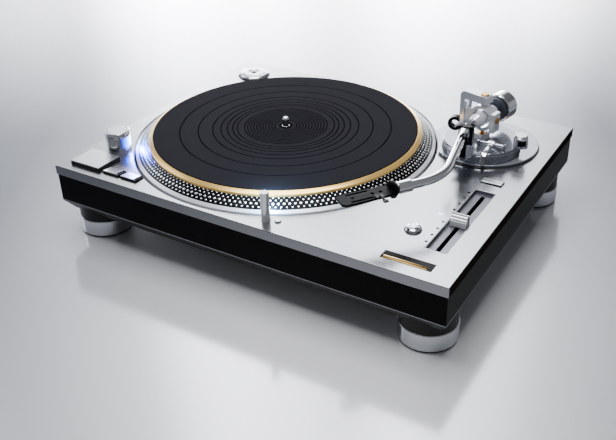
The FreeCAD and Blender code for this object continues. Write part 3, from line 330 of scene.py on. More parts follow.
def shadeBeyond(material, axis, reach, colour, metal=None, centre=(0, 0, 0)):
    # another colour on the faces that lie further out than reach along X or Y or (R) from an upright axis,
    # or below it for Z; metal is how metallic those faces are
    tree = material.node_tree
    base = firstNode(material)
    shade = base.inputs["Base Color"].links[0].from_socket
    place = node(tree, "TexCoord").outputs["Object"]
    if axis == "R":
        offset = node(tree, "VectorMath", {0: place, 1: (centre[0] * mm, centre[1] * mm, 0)},
                      operation="SUBTRACT")
        flat = node(tree, "VectorMath", {0: offset.outputs["Vector"], 1: (1, 1, 0)}, operation="MULTIPLY")
        away = node(tree, "VectorMath", {0: flat.outputs["Vector"]}, operation="LENGTH").outputs["Value"]
    else:
        along = node(tree, "SeparateXYZ", {"Vector": place}).outputs[axis]
        away = node(tree, "Math", {0: along}, operation="ABSOLUTE").outputs[0]
    end = node(tree, "Math", {0: away, 1: reach * mm},
               operation="LESS_THAN" if axis == "Z" else "GREATER_THAN").outputs[0]
    tree.links.new(node(tree, "Mix", {0: end, 6: shade, 7: linear(colour)}, data_type="RGBA").outputs[2],
                   base.inputs["Base Color"])
    if metal is not None:
        change = node(tree, "MapRange", {"Value": end, "To Min": base.inputs["Metallic"].default_value,
                                         "To Max": metal})
        tree.links.new(change.outputs[0], base.inputs["Metallic"])


plateHigh = nodeBox("top_plate")[1]
cabinetLow = nodeBox("cabinet")[0]
spindleCentre = jointPlace("platter_spin")
towerCentre = jointPlace("power_turn")
pivot = jointPlace("arm_swing")
armAxis = jointAxis("weight_travel")

# Where a finish changes on one piece: how deep the painted shade on the plate's cut faces reaches, how high
# the painted highlight on the cabinet's lower edge, how far the platter's painted highlight on its lip and
# the lobe's painted shade on its wall lie from their axes, and the sockets from the middle
border = {"edgeShadeDepth": 0.3, "edgeHighlightHeight": 0.9, "lip": 162.9, "lobe": 58.0, "lobeShift": (-2, 15.5), "socket": 158.6}

# Brushed and clear anodised aluminium: a pale field with hairlines along X, and painted shade on the cut
# edges: almost black at the sides and mid grey at the front and rear
plateMetal = brushedMetal("brushedAluminiumPlate", ("#9b9ca0", "#c3c4c7"), (0.16, 0.27),
                          direction=(0.012, 1.7, 1.7), Specular_IOR_Level=0.0)
shadeBeyond(plateMetal, "X", cadHigh[0] / mm - border["edgeShadeDepth"], "#1d1917", metal=0.0)
shadeBeyond(plateMetal, "Y", plateHigh[1] - border["edgeShadeDepth"], "#77787c")
# The keys' tops are brushed like the plate but brighter: each is a light square with a dark edge, its
# black walls partly black anodising and partly painted shade
keyMetal = brushedMetal("brushedKeysBlackWalls", ("#b0b1b5", "#d2d3d5"), (0.22, 0.34), depth=0.003)
blackWalls(keyMetal, "#050506")
# The fader's knob under its ridged body, brushed as the keys are
buttonMetal = brushedMetal("brushedAluminiumKnob", ("#b0b1b5", "#d2d3d5"), (0.22, 0.34), depth=0.003)
# Satin brushed aluminium, finer than the plate's: the fader's tray is a darker, softer grey
trayMetal = brushedMetal("satinTrayMetal", ("#6f7077", "#888990"), (0.3, 0.4), depth=0.002)
# Satin black paint on moulded board: deep black without a mirror image, and a painted highlight: a grey
# band along its lower edge
cabinetPaint = grainedSurface("satinBlackPaint", ("#040405", "#060607"), (0.36, 0.44), grain=0.5, depth=0.006,
                              Specular_IOR_Level=0.03)
shadeBeyond(cabinetPaint, "Z", cabinetLow[2] + border["edgeHighlightHeight"], "#7d8087")
# Moulded rubber: black, with a faint broad shine that its grain breaks up
baseRubber = grainedSurface("mouldedRubberBase", ("#050506", "#080809"), (0.42, 0.52), grain=0.9, depth=0.02,
                            Specular_IOR_Level=0.2)
footRubber = grainedSurface("mouldedRubberFoot", ("#0a0a0b", "#0f0f10"), (0.45, 0.55), grain=0.8, depth=0.02)
# Black anodised cast aluminium, turned: near black between the dots, with a painted highlight: a bright
# band round its outer lip
platterMetal = turnedMetal("darkAnodisedPlatter", ("#08090b", "#101115"), (0.26, 0.36), spindleCentre,
                           pitch=0.7)
shadeBeyond(platterMetal, "R", border["lip"], "#c4c5c9", metal=0.35, centre=spindleCentre)
# Turned brass: a warm gold ring that glints along its edge
discBrass = turnedMetal("turnedBrassDisc", ("#c89f50", "#dfbb74"), (0.2, 0.28), spindleCentre, pitch=0.4,
                        depth=0.001, edge=0.15, metallic=0.7)
matRubber = matMaterial()
# Ground stainless steel: a narrow bright line up the pin
spindleSteel = turnedMetal("groundSteelSpindle", ("#a9aaad", "#d5d6d8"), (0.12, 0.2), spindleCentre)
# Chrome plate, polished: mirror bright, with the room's dark and light in sharp bands
chrome = grainedSurface("polishedChrome", ("#c9cbce", "#d9dadd"), (0.05, 0.08), grain=4.0, depth=0.001,
                        Metallic=1.0)
# Pearl-blasted and plated metals of the arm and its base: the same bands as in the chrome, but softer
armPearl = grainedSurface("satinArmSilver", ("#cdced4", "#dfe0e5"), (0.16, 0.22), grain=0.3, depth=0.002,
                          Metallic=0.6)
baseMetal = grainedSurface("satinBaseSilver", ("#8d9098", "#a6a9b0"), (0.10, 0.16), grain=0.3, depth=0.001,
                           Metallic=0.85)
lobeMetal = grainedSurface("satinLobeSilver", ("#9fa2aa", "#b6b9c1"), (0.10, 0.16), grain=0.3, depth=0.001,
                           Metallic=0.8)
# The lobe's outer wall, beyond a radius from a centre set off the pivot, is painted dark: painted shade
lobeCentre = (pivot[0] + border["lobeShift"][0], pivot[1] + border["lobeShift"][1])
shadeBeyond(lobeMetal, "R", border["lobe"], "#26282d", metal=0.3, centre=lobeCentre)
pillarMetal = grainedSurface("satinPillarSilver", ("#c2c3c7", "#d4d5d8"), (0.12, 0.18), grain=0.3,
                             depth=0.001, Metallic=0.7)
towerMetal = turnedMetal("satinTowerSteel", ("#b2b4b9", "#cfd1d5"), (0.16, 0.24), towerCentre, pitch=0.4,
                         depth=0.001)
# Glass-filled nylon: black, with the weak shine of a moulded skin
armBlack = grainedSurface("mouldedBlackNylon", ("#050506", "#09090a"), (0.3, 0.4), grain=0.5, depth=0.006,
                          Specular_IOR_Level=0.08)
# Black anodised aluminium, blasted first: the shell stays black under the light
shellBlack = grainedSurface("anodisedShell", ("#040405", "#08090b"), (0.34, 0.42), grain=0.3, depth=0.004,
                            Specular_IOR_Level=0.02)
# Brass, machined and lacquered: small warm points in the gimbal
screwBrass = grainedSurface("brassScrew", ("#a9793c", "#c8a063"), (0.18, 0.26), grain=0.3, depth=0.003,
                            Metallic=1.0)
# Black moulded panel, and the gold-plated rims that stand out of it
socketMetal = grainedSurface("blackPanelGoldSockets", ("#08080a", "#0d0d10"), (0.24, 0.32), grain=0.3,
                             depth=0.003, Specular_IOR_Level=0.2)
shadeBeyond(socketMetal, "Y", border["socket"], "#c8a063", metal=1.0)
# Zinc-plated steel: a dull blue-grey under the base
platedSteel = grainedSurface("zincPlatedSteel", ("#5a5c60", "#74767a"), (0.3, 0.4), grain=0.4, depth=0.004,
                             Metallic=1.0)
# Inside: lacquered glass-fibre board is a dark green, sintered ferrite a dull grey, and enamelled copper
# wire a red-brown with the pitch of its turns
boardGreen = grainedSurface("coatedCircuitBoard", ("#123a22", "#1a4a2d"), (0.35, 0.45), grain=1.2, depth=0.02)
magnetGrey = grainedSurface("sinteredMagnet", ("#2b2c30", "#3a3b40"), (0.5, 0.6), grain=0.4, depth=0.03,
                            Metallic=0.5)
copperWinding = turnedMetal("enamelledCopper", ("#8a4a22", "#b9713c"), (0.25, 0.35), spindleCentre, pitch=0.6,
                            depth=0.05)
# Clear acrylic lenses, lit from behind: blue light at the strobe, paler at the target lamp
strobeGlow = glowing("strobeLens", "#5b86ff", 14.0)
lampGlow = glowing("lampLens", "#a9c4ff", 10.0)

finishes = {
    "top_plate": plateMetal, "cabinet": cabinetPaint, "base_shell": baseRubber,
    "base_screws": platedSteel, "foot_necks": baseRubber, "platter": platterMetal,
    "platter_disc": discBrass, "platter_damper": footRubber, "rotor_magnet": magnetGrey,
    "spindle": spindleSteel, "slip_mat": matRubber, "bearing_housing": screwBrass,
    "stator_board": boardGreen, "stator_coils": copperWinding, "control_board": boardGreen,
    "power_supply": boardGreen, "start_stop_button": keyMetal, "speed_button_33": keyMetal,
    "speed_button_45": keyMetal, "range_button": keyMetal, "reset_button": chrome, "lamp_button": chrome,
    "pitch_bezel": trayMetal, "pitch_knob": buttonMetal, "strobe_tower": towerMetal,
    "strobe_window": strobeGlow, "lamp_pillar": pillarMetal, "lamp_lens": lampGlow,
    "arm_surround": lobeMetal, "height_ring": baseMetal, "arm_platform": baseMetal, "lock_lever": chrome,
    "cue_lever": chrome, "cue_lift": chrome, "yoke": armPearl, "yoke_pivots": screwBrass,
    "gimbal_ring": armPearl, "gimbal_pivots": screwBrass, "arm_housing": armPearl, "arm_tube": chrome,
    "collar_nut": chrome, "headshell": shellBlack, "finger_lift": armBlack, "arm_rest": armBlack,
    "arm_clip": armBlack, "signal_terminals": socketMetal, "mains_inlet": armBlack,
}
# Turned and plated parts: rings round each one's own axis, and a highlight that runs along its barrel
for corner in ("front_left", "front_right", "rear_left", "rear_right"):
    low, high = nodeBox("foot_" + corner)
    finishes["foot_" + corner] = turnedMetal("turnedFoot_" + corner, ("#a9abaf", "#c9cbce"), (0.16, 0.24),
                                             (low + high) / 2, pitch=0.7, depth=0.003)
    finishes["foot_pad_" + corner] = footRubber
finishes["power_knob"] = turnedMetal("turnedSwitch", ("#a9abb0", "#d0d2d6"), (0.16, 0.24), towerCentre)
adapterLow, adapterHigh = nodeBox("adapter_45")
finishes["adapter_45"] = turnedMetal("turnedAdapter", ("#a3a5a9", "#cdced1"), (0.2, 0.3),
                                     (adapterLow + adapterHigh) / 2)
skateCentre = jointPlace("anti_skate_turn")
finishes["anti_skate_knob"] = turnedMetal("turnedSkateKnob", ("#b0b2b6", "#dadbde"), (0.14, 0.22),
                                          skateCentre)
finishes["counterweight"] = turnedMetal("turnedWeight", ("#c3c5c8", "#dddee0"), (0.07, 0.12), pivot, armAxis,
                                        depth=0.001)
finishes["force_dial"] = turnedMetal("turnedDial", ("#2c2f36", "#474b54"), (0.25, 0.35), pivot, armAxis,
                                     metallic=0.6)
for name, material in finishes.items():
    mesh = nodes[name].data
    mesh.materials.clear()
    mesh.materials.append(material)
print("materials on", len(finishes), "nodes")

# Camera: the photograph's place and lens

camera = {"place": (427.99, -701.52, 488.17), "yaw": 0.541, "pitch": 0.514, "roll": -0.018,
          "focal": 831.56, "width": 616, "shiftX": -20.6, "shiftY": -28.4}


def makeCamera():
    yaw, pitch, roll = camera["yaw"], camera["pitch"], camera["roll"]
    forward = Vector((-math.sin(yaw) * math.cos(pitch), math.cos(yaw) * math.cos(pitch), -math.sin(pitch)))
    level = Vector((math.cos(yaw), math.sin(yaw), 0))
    upward = level.cross(forward)
    right = math.cos(roll) * level + math.sin(roll) * upward
    top = -math.sin(roll) * level + math.cos(roll) * upward
    seen = bpy.data.cameras.new("camera")
    seen.lens = camera["focal"] / camera["width"] * seen.sensor_width
    seen.shift_x = camera["shiftX"] / camera["width"]
    seen.shift_y = camera["shiftY"] / camera["width"]
    item = bpy.data.objects.new("camera", seen)
    item.matrix_world = Matrix.Translation(Vector(camera["place"]) * mm) @ Matrix(
        (right, top, -forward)).transposed().to_4x4()
    bpy.context.scene.collection.objects.link(item)
    bpy.context.scene.camera = item


makeCamera()

# Strobe dots on the platter's sloped rim

dots = {"count": 184, "low": (166, 82.9), "high": (151.9, 92.9), "along": (6.4, 10.0, 13.6, 16.4),
        "radius": (1.0, 1.4, 0.95, 0.7), "rise": 0.3, "root": 0.1, "shoulder": (0.92, 0.55), "crown": 0.45,
        "sides": 10}
# Diamond-cut aluminium: each dot glints on its own against the black rim
dotSilver = grainedSurface("diamondCutDots", ("#d9dadc", "#eceded"), (0.1, 0.18), grain=0.4, depth=0.004,
                           Metallic=0.9)


def strobeDots():
    # each dot is a low dome on the slope: rings (r cos a, r sin a, rise) in the slope's own axes,
    # carried round the platter by a turn; each row starts half a step further on
    low, high = np.array(dots["low"], float), np.array(dots["high"], float)
    slope = (high - low) / np.linalg.norm(high - low)
    out = np.array([slope[1], -slope[0]])
    angle = np.linspace(0, 2 * np.pi, dots["sides"], endpoint=False)
    shoulder, bend = dots["shoulder"]
    rings = [(1.0, -dots["root"]), (shoulder, bend * dots["rise"]), (dots["crown"], dots["rise"])]
    copies = []
    for row, (along, radius) in enumerate(zip(dots["along"], dots["radius"])):
        turn = (np.arange(dots["count"]) + row / 2) * 2 * np.pi / dots["count"]
        centre = low + slope * along
        side = np.array([[radius * part * np.cos(angle), radius * part * np.sin(angle),
                          np.full(len(angle), rise)] for part, rise in rings])
        radial = centre[0] + side[:, 1] * slope[0] + side[:, 2] * out[0]
        height = centre[1] + side[:, 1] * slope[1] + side[:, 2] * out[1]
        tangent = side[:, 0]
        x = radial * np.cos(turn)[:, None, None] - tangent * np.sin(turn)[:, None, None]
        y = radial * np.sin(turn)[:, None, None] + tangent * np.cos(turn)[:, None, None]
        z = np.broadcast_to(height, x.shape)
        copies.append(np.stack([x + spindleCentre[0], y + spindleCentre[1], z], axis=-1))
    return manyMesh("strobe_dots", np.concatenate(copies))


addPiece("strobe_dots", strobeDots(), "platter", dotSilver)

# Brass lip: the disc's raised edge round the mat, sloping up to just under the mat's top

lip = {"profile": [(151.3, 94.6), (151.3, 95.1), (150.9, 95.4), (147.0, 97.2), (146.6, 97.3), (146.4, 97.1),
                   (146.4, 94.6)], "steps": 360}
addPiece("disc_lip", gridMesh("disc_lip", lathePoints(lip["profile"], lip["steps"], (*spindleCentre[:2], 0)),
                              closeU=True, closeV=True), "platter", discBrass)
print("strobe dots made")

# Marks on the plate: dots beside the fader and a small light; the badge is bare, with a bar and a line

marks = {"tickX": 180.0, "tickY": (-20.1, -32.4, -44.8, -57.2, -82.9, -95.7, -108.3, -120.9),
         "tickRadius": 1.5, "tickSides": 14, "plateTop": 82.2, "rise": 0.06, "sunk": 0.05,
         "light": (172.2, -71.0), "lightWide": 5.0, "lightDeep": 1.7, "lightCorner": 0.8,
         "lightLayers": [(0, -0.1), (0, 0.15), (0.15, 0.25)]}
# Screen-printed ink: flat black without shine, for the printed ticks, and the same black as painted
# shadow at the keys' right ends
printInkAndShadow = grainedSurface("blackPrintAndPaintedShadow", ("#020203", "#060607"), (0.4, 0.5), grain=0.2, depth=0.002,
                          edge=0.05, Specular_IOR_Level=0.0)
# Clear lens over a small lamp: a pale blue point
pitchGlow = glowing("pitchLight", "#9fb8ff", 6.0)


def discCopies(places, radius, bottom, top, sides):
    # a thin disc with a softened edge, at each place
    angle = np.linspace(0, 2 * np.pi, sides, endpoint=False)
    ring = np.array([[(radius * part) * np.cos(angle), (radius * part) * np.sin(angle),
                      np.full(sides, height)] for part, height in ((1, bottom), (1, top - 0.01), (0.9, top))])
    ring = ring.transpose(0, 2, 1)
    return ring[None] + np.array(places, float)[:, None, None, :]


tickPlaces = [(marks["tickX"], y, 0) for y in marks["tickY"]]
addPiece("pitch_ticks", manyMesh("pitch_ticks", discCopies(
    tickPlaces, marks["tickRadius"], marks["plateTop"] - marks["sunk"], marks["plateTop"] + marks["rise"],
    marks["tickSides"])), "deck", printInkAndShadow)
lightPoints = slabPoints(marks["lightWide"], marks["lightDeep"], marks["lightCorner"], marks["lightLayers"],
                         (*marks["light"], marks["plateTop"]))
addPiece("pitch_light", gridMesh("pitch_light", lightPoints, closeV=True, capStart=True, capEnd=True),
         "deck", pitchGlow)

badge = {"centre": (179.2, -156.8), "width": 49.3, "depth": 12.6, "floor": 81.4, "thick": 0.62, "fit": 0.25,
         "corner": 0.6, "bevel": 0.15, "barShift": (-1.6, -2.6), "barSize": (42.0, 3.8), "barRise": 0.06,
         "lineShift": (-1.6, -2.7), "lineSize": (42.0, 1.3), "lineRise": 0.11, "barCorner": 0.2}
# Brushed brass: a gold bar, grained along its length
badgeGold = brushedMetal("brushedBrassBadge", ("#6f5524", "#b4924e"), (0.22, 0.32), depth=0.003, edge=0.1)
# Stove enamel: a smooth black that holds a weak, clean highlight
badgeBlack = grainedSurface("blackEnamel", ("#040303", "#0a0806"), (0.16, 0.24), grain=0.5, depth=0.002,
                            edge=0.1, Specular_IOR_Level=0.05)
badgeTop = badge["floor"] + badge["thick"]


def badgeSlab(name, shift, size, corner, layers, material):
    # one thin plate or bar of the badge
    centre = (badge["centre"][0] + shift[0], badge["centre"][1] + shift[1], 0)
    points = slabPoints(*size, corner, layers, centre)
    addPiece(name, gridMesh(name, points, closeV=True, capStart=True, capEnd=True), "deck", material)


def badgeBar(name, part, material):
    # a bar stands on the plate by its own rise, with its foot sunk in the enamel
    level = badgeTop + badge[part + "Rise"]
    layers = [(0, badgeTop - 0.1), (0, level - 0.03), (0.05, level)]
    badgeSlab(name, badge[part + "Shift"], badge[part + "Size"], badge["barCorner"], layers, material)


badgeSlab("badge_plate", (0, 0), (badge["width"] - badge["fit"], badge["depth"] - badge["fit"]),
          badge["corner"], [(0, badge["floor"] + 0.01), (0, badgeTop - badge["bevel"]),
                            (badge["bevel"], badgeTop)], badgeBlack)
badgeBar("badge_panel", "bar", badgeGold)
badgeBar("badge_line", "line", badgeBlack)

# Fader knob: a dark band of painted shade behind a bright ridge, then small ridges that step down its
# front

knob = {"wide": 16.4, "foot": 79.3, "drawn": 0.4, "drawnAbove": 80, "valley": (-76.5, -73.9, 88.65),
        "metallic": 0.5, "profile": [
    (-72.5, 79.3), (-72.5, 89.0), (-72.9, 89.7), (-73.6, 89.7), (-74.0, 88.6), (-76.3, 88.2), (-76.8, 89.5),
    (-77.4, 89.8), (-78.2, 89.4), (-78.9, 88.2), (-79.3, 87.2), (-79.9, 86.8), (-80.3, 85.2), (-80.9, 84.6),
    (-81.2, 82.5), (-81.5, 80.5), (-81.5, 79.3)]}
knobLow, knobHigh = nodeBox("pitch_knob")


def knobMaterial():
    # satin silver with painted shade, near black, in its valley, told apart by place along the knob and by
    # height
    material = brushedMetal("satinSilverKnob", ("#cfd0d3", "#e3e4e6"), (0.22, 0.32), depth=0.002, edge=0.15)
    tree = material.node_tree
    base = firstNode(material)
    base.inputs["Metallic"].default_value = knob["metallic"]
    shade = base.inputs["Base Color"].links[0].from_socket
    place = node(tree, "SeparateXYZ", {"Vector": node(tree, "TexCoord").outputs["Object"]})
    front, back, top = (limit * mm for limit in knob["valley"])
    level = node(tree, "Math", {0: place.outputs["Z"], 1: top}, operation="LESS_THAN").outputs[0]
    before = node(tree, "Math", {0: place.outputs["Y"], 1: front}, operation="GREATER_THAN").outputs[0]
    behind = node(tree, "Math", {0: place.outputs["Y"], 1: back}, operation="LESS_THAN").outputs[0]
    both = node(tree, "Math", {0: before, 1: behind}, operation="MULTIPLY").outputs[0]
    inside = node(tree, "Math", {0: both, 1: level}, operation="MULTIPLY").outputs[0]
    painted = node(tree, "Mix", {0: inside, 6: shade, 7: linear("#101216")}, data_type="RGBA")
    tree.links.new(painted.outputs[2], base.inputs["Base Color"])
    return material


def knobMesh():
    # the side profile carried across, drawn in a little at both ends for a soft edge
    profile = np.array(knob["profile"], float)
    middle = (knobLow[0] + knobHigh[0]) / 2
    half, soft = knob["wide"] / 2, knob["drawn"]
    centre = np.array([profile[:, 0].mean(), knob["foot"]])
    rows = []
    for across, inset in ((-half, soft), (-half + soft, 0), (half - soft, 0), (half, soft)):
        drawn = profile - np.sign(profile - centre) * inset * (profile[:, 1:] > knob["drawnAbove"])
        rows.append(np.column_stack([np.full(len(profile), middle + across), drawn]))
    return gridMesh("knob_body", np.array(rows), closeV=True, capStart=True, capEnd=True)


knobPiece = addPiece("knob_body", knobMesh(), "pitch_fader", knobMaterial(), sharp=28)
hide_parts("pitch_knob")

# Anti-skating knob: a dark plate on the front of its side, painted shade

skate = {"radius": 7.62, "low": 97.6, "high": 104.2, "from": -96, "sweep": 74}


def curvedPatch(name, radius, low, high, start, sweep, centre, thick=0.25, steps=16):
    # a curved plate: an outer and an inner wall joined at their edges
    turn = np.radians(start + np.linspace(0, sweep, steps))
    corner = [(radius - thick, low), (radius, low), (radius, high), (radius - thick, high)]
    points = np.empty((steps, 4, 3))
    for column, (out, height) in enumerate(corner):
        points[:, column, 0] = centre[0] + out * np.cos(turn)
        points[:, column, 1] = centre[1] + out * np.sin(turn)
        points[:, column, 2] = height
    return gridMesh(name, points, closeV=True, capStart=True, capEnd=True)


addPiece("skate_front_shade", curvedPatch("skate_front_shade", skate["radius"], skate["low"], skate["high"],
                                      skate["from"], skate["sweep"], skateCentre), "anti_skate", armBlack)

# Speed keys: a black end plate on the right of each key, a painted shadow for the dark gap at its end

keyEnds = {"wide": 2.6, "thick": 0.12, "inset": 0.3, "margin": 0.5, "root": 0.3, "bevel": 0.04,
           "front": 2.8, "back": 1.2, "pieces": [
    ("speed_end_33", "speed_button_33", "speed_33"), ("speed_end_45", "speed_button_45", "speed_45")]}


def keyEnd(name, key):
    # a thin plate on the sloped top: front and back are the key's own heights over the plate
    low, high = nodeBox(key)
    right, left = high[0] - keyEnds["inset"], high[0] - keyEnds["inset"] - keyEnds["wide"]
    front, back = low[1] + keyEnds["margin"], high[1] - keyEnds["margin"]
    slope = (keyEnds["back"] - keyEnds["front"]) / (high[1] - low[1])
    rows = []
    thick, bevel = keyEnds["thick"], keyEnds["bevel"]
    for lift, draw in ((-keyEnds["root"], 0), (thick - bevel, 0), (thick, bevel)):
        flat = np.array([(left + draw, front + draw), (right - draw, front + draw),
                         (right - draw, back - draw), (left + draw, back - draw)])
        height = plateHigh[2] + keyEnds["front"] + slope * (flat[:, 1] - low[1]) + lift
        rows.append(np.column_stack([flat, height]))
    return gridMesh(name, np.array(rows), closeV=True, capStart=True, capEnd=True)


for name, key, body in keyEnds["pieces"]:
    addPiece(name, keyEnd(name, key), body, printInkAndShadow)

# Strobe tower: the lit edge of the window, deep blue where it is seen from the side

glow = {"radius": 13.42, "low": 88.2, "high": 99.2, "from": -34, "sweep": 100, "reach": 12.5,
        "colours": ("#0a1fd0", "#3f78ff", "#e8f8ff"), "middle": 0.55, "dim": 0.5, "bright": 14.0}


def strobeBandMaterial():
    # a blue lens lit from inside: deep blue at its dark edge, to white where it faces the platter
    material, tree, base, place = startMaterial("strobeBand", Base_Color=linear("#20305a"), Roughness=0.1)
    turn = math.radians(glow["from"])
    offset = node(tree, "VectorMath", {0: place, 1: tuple(towerCentre)}, operation="SUBTRACT")
    along = node(tree, "VectorMath", {0: offset.outputs["Vector"], 1: (-math.sin(turn), math.cos(turn), 0.0)},
                 operation="DOT_PRODUCT").outputs["Value"]
    share = node(tree, "MapRange", {"Value": along, "From Min": 0.0, "From Max": glow["reach"]}).outputs[0]
    dark, blue, white = glow["colours"]
    ramp = node(tree, "ValToRGB", {"Fac": share})
    ramp.color_ramp.elements[0].color = linear(dark)
    ramp.color_ramp.elements[1].color = linear(white)
    middle = ramp.color_ramp.elements.new(glow["middle"])
    middle.color = linear(blue)
    tree.links.new(ramp.outputs["Color"], base.inputs["Emission Color"])
    strength = node(tree, "MapRange", {"Value": share, "To Min": glow["dim"], "To Max": glow["bright"]})
    tree.links.new(strength.outputs[0], base.inputs["Emission Strength"])
    return material


addPiece("strobe_band", curvedPatch("strobe_band", glow["radius"], glow["low"], glow["high"], glow["from"],
                                    glow["sweep"], towerCentre), "deck", strobeBandMaterial())
print("knob, pointer and strobe band made")

# Height ring: graduations round its wall

scale = {"radius": 41.2, "count": 100, "longEvery": 5, "wide": 0.9, "low": 84.4, "short": 91.6, "long": 93.4,
         "rise": 0.07, "root": 0.1}


def ringScale():
    # thin upright bars (tangent, radial, height) turned round the ring, every fifth one longer
    turn = np.arange(scale["count"]) * 2 * np.pi / scale["count"]
    corner = np.array([(-1, -1), (1, -1), (1, 1), (-1, 1)])
    tangent = corner[:, 0] * scale["wide"] / 2
    radial = scale["radius"] + np.where(corner[:, 1] > 0, scale["rise"], -scale["root"])
    tops = np.where(np.arange(scale["count"]) % scale["longEvery"] == 0, scale["long"], scale["short"])
    level = np.stack([np.full(scale["count"], scale["low"]), tops], axis=1)
    x = radial[None] * np.cos(turn)[:, None] - tangent[None] * np.sin(turn)[:, None] + pivot[0]
    y = radial[None] * np.sin(turn)[:, None] + tangent[None] * np.cos(turn)[:, None] + pivot[1]
    flat = np.stack([x, y], axis=-1)
    copies = np.empty((scale["count"], 2, 4, 3))
    copies[..., :2] = flat[:, None]
    copies[..., 2] = level[:, :, None]
    return manyMesh("ring_scale", copies)


# Paint wiped into engraved marks: matt blue-grey that reads dark on the bright wall
scaleInk = grainedSurface("blueGreyFilledMarks", ("#2a3240", "#39434f"), (0.3, 0.4), grain=0.3, depth=0.003,
                          edge=0.05)
addPiece("ring_scale", ringScale(), "height_dial", scaleInk)


def thinRing(name, radius, wide, low, high, centre, steps=120):
    # a flat ring of rectangular section round an upright axis
    section = [(radius - wide, low), (radius, low), (radius, high), (radius - wide, high)]
    points = lathePoints(section, steps, (centre[0], centre[1], 0))
    return gridMesh(name, points, closeU=True, closeV=True)


# Painted lines, two round the height ring's wall and one on the power switch's top: name, outer radius,
# width, low, high, centre and body

lines = [("ring_line_low", 41.28, 0.2, 83.5, 84.1, pivot, "height_dial"),
         ("ring_line_high", 41.28, 0.2, 93.6, 94.0, pivot, "height_dial"),
         ("switch_line", 11.3, 0.6, 105.3, 105.4, towerCentre, "power_switch")]
for name, radius, wide, low, high, centre, body in lines:
    addPiece(name, thinRing(name, radius, wide, low, high, centre), body, scaleInk)
print("plate and ring marks made")

# Table, tent and light

# Panels and levels are (place, brightness) across and up the tent. A light or glow is its name, place, aim,
# size, watts and colour
studio = {"floorSize": 16000, "floor": "#eaebee", "floorShade": "#8f9299", "floorRoughness": 0.14,
          "floorMetallic": 0.42, "shadeAside": (60.0, 380.0), "shadeNear": (200.0, 1000.0),
          "shadeEnding": (-1000.0, -450.0), "domeRadius": 7000, "domeFrom": -4, "domeRings": 24,
          "domeSteps": 48, "lookTurn": 121.0, "tent": "#f3f5fa", "front": 0.3, "frontEdge": (0.05, 0.45),
          "panels": [(-0.60, 0.35), (-0.36, 1.3), (-0.20, 6.6), (-0.09, 5.2), (0.02, 3.4), (0.13, 5.8),
                     (0.27, 3.6), (0.42, 1.0), (0.60, 0.16)],
          "levels": [(0.0, 4.6), (0.24, 4.4), (0.31, 2.3), (0.38, 0.85), (0.46, 1.0), (0.6, 1.35),
                     (0.75, 0.9), (1.0, 0.6)],
          "lights": [("overhead", (-40, -80, 1350), (-40, -80, 0), (900, 900), 33, "#ffffff"),
                     ("leftFill", (-1500, -100, 900), (0, 0, 60), (700, 900), 8, "#eef2ff")],
          "glows": [("strobeBeam", (-178.5, -106.5, 92.5), (-155, -104, 86), 5, 0.15, "#1236ff"),
                    ("strobeWhite", (-180.0, -103.0, 97.5), (-172, -72, 84), 5, 0.08, "#9fd8ff"),
                    ("strobeHaze", (-178.0, -108.0, 92.0), (-170, -125, 80), 8, 0.015, "#7a86ff"),
                    ("lampBeam", (33.4, -154.0, 108.3), (26, -132, 92), 4, 0.14, "#7fc4ff"),
                    ("lampSheen", (33.4, -154.5, 108.3), (26, -140, 98), 4, 0.05, "#e8f4ff")]}
lookTurn = math.radians(studio["lookTurn"])
lookAhead = (math.cos(lookTurn), math.sin(lookTurn), 0.0)
lookAside = (math.sin(lookTurn), -math.cos(lookTurn), 0.0)


def stops(tree, factor, pairs):
    # numbers eased between (place, value) pairs, over the factor's range from the first place to the last
    low, high = pairs[0][0], pairs[-1][0]
    spread = node(tree, "MapRange", {"Value": factor, "From Min": low, "From Max": high}).outputs[0]
    ramp = node(tree, "ValToRGB", {"Fac": spread})
    ramp.color_ramp.interpolation = "EASE"
    while len(ramp.color_ramp.elements) < len(pairs):
        ramp.color_ramp.elements.new(1.0)
    top = max(value for _, value in pairs)
    for stop, (place, value) in zip(ramp.color_ramp.elements, pairs):
        stop.position = (place - low) / (high - low)
        stop.color = (value / top, value / top, value / top, 1)
    return node(tree, "Math", {0: ramp.outputs["Color"], 1: top}, operation="MULTIPLY").outputs[0]


def domeMaterial():
    # a studio tent: bright paper behind the table with soft upright panels, brighter near the table top,
    # and a dim front, so that upright black faces stay black and the flat metal carries soft bands
    material = bpy.data.materials.new("studioTent")
    material.use_nodes = True
    tree = material.node_tree
    tree.nodes.clear()
    place = node(tree, "TexCoord").outputs["Object"]
    direction = node(tree, "VectorMath", {0: place}, operation="NORMALIZE").outputs["Vector"]
    ahead = node(tree, "VectorMath", {0: direction, 1: lookAhead}, operation="DOT_PRODUCT").outputs["Value"]
    aside = node(tree, "VectorMath", {0: direction, 1: lookAside}, operation="DOT_PRODUCT").outputs["Value"]
    height = node(tree, "SeparateXYZ", {"Vector": direction}).outputs["Z"]
    positive = node(tree, "Math", {0: ahead, 1: studio["frontEdge"][0]}, operation="MAXIMUM").outputs[0]
    across = node(tree, "Math", {0: aside, 1: positive}, operation="DIVIDE").outputs[0]
    panels = stops(tree, across, studio["panels"])
    levels = stops(tree, height, studio["levels"])
    behind = node(tree, "MapRange", {"Value": ahead, "From Min": studio["frontEdge"][0],
                                     "From Max": studio["frontEdge"][1]},
                  interpolation_type="SMOOTHSTEP").outputs[0]
    bright = node(tree, "Math", {0: panels, 1: levels}, operation="MULTIPLY").outputs[0]
    level = node(tree, "Mix", {0: behind, 2: studio["front"], 3: bright}).outputs[0]
    light = node(tree, "Emission", {"Color": linear(studio["tent"]), "Strength": level})
    node(tree, "OutputMaterial", {"Surface": light.outputs["Emission"]})
    return material


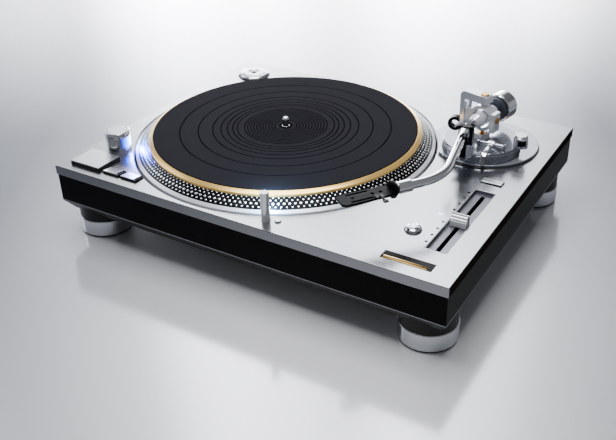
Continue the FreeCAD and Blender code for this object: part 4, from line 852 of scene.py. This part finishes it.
def tableMaterial():
    # lacquered sheet: bright, with a soft image of the deck; its light falls off towards the sides of the
    # part that lies before and beside the deck
    material, tree, base, place = startMaterial("glossyTable", Base_Color=linear(studio["floor"]),
                                                Roughness=studio["floorRoughness"],
                                                Metallic=studio["floorMetallic"])
    level = node(tree, "VectorMath", {0: place, 1: lookAside}, operation="DOT_PRODUCT").outputs["Value"]
    aside = node(tree, "Math", {0: level}, operation="ABSOLUTE").outputs[0]
    depth = node(tree, "VectorMath", {0: place, 1: lookAhead}, operation="DOT_PRODUCT").outputs["Value"]
    inner, outer = studio["shadeAside"]
    wide = node(tree, "MapRange", {"Value": aside, "From Min": inner, "From Max": outer}).outputs[0]
    start, end = studio["shadeNear"]
    near = node(tree, "MapRange", {"Value": depth, "From Min": start, "From Max": end, "To Min": 1.0,
                                   "To Max": 0.0}).outputs[0]
    start, end = studio["shadeEnding"]
    ending = node(tree, "MapRange", {"Value": depth, "From Min": start, "From Max": end}).outputs[0]
    beside = node(tree, "Math", {0: wide, 1: near}, operation="MULTIPLY").outputs[0]
    shaded = node(tree, "Math", {0: beside, 1: ending}, operation="MULTIPLY").outputs[0]
    tree.links.new(between(tree, shaded, linear(studio["floor"]), linear(studio["floorShade"])),
                   base.inputs["Base Color"])
    return material


def makeStudio():
    size = studio["floorSize"] * mm / 2
    corners = [(-size, -size, 0), (size, -size, 0), (size, size, 0), (-size, size, 0)]
    mesh = bpy.data.meshes.new("table")
    mesh.from_pydata(corners, [], [(0, 1, 2, 3)])
    mesh.materials.append(tableMaterial())
    rise = np.radians(np.linspace(studio["domeFrom"], 90, studio["domeRings"]))
    profile = np.column_stack([np.cos(rise), np.sin(rise)]) * studio["domeRadius"]
    tent = gridMesh("tent", lathePoints(profile, studio["domeSteps"]), closeV=True)
    tent.materials.append(domeMaterial())
    for name, shape in (("table", mesh), ("tent", tent)):
        item = bpy.data.objects.new(name, shape)
        bpy.context.scene.collection.objects.link(item)
    for name, place, aim, size, power, colour in studio["lights"] + studio["glows"]:
        light = bpy.data.lights.new(name, "AREA")
        if isinstance(size, tuple):
            light.shape = "RECTANGLE"
            light.size, light.size_y = size[0] * mm, size[1] * mm
        else:
            light.size = size * mm
        light.energy = power
        light.color = linear(colour)[:3]
        item = bpy.data.objects.new(name, light)
        item.location = Vector(place) * mm
        item.rotation_mode = "QUATERNION"
        item.rotation_quaternion = (Vector(aim) - Vector(place)).to_track_quat("-Z", "Y")
        bpy.context.scene.collection.objects.link(item)


makeStudio()
print("studio made")
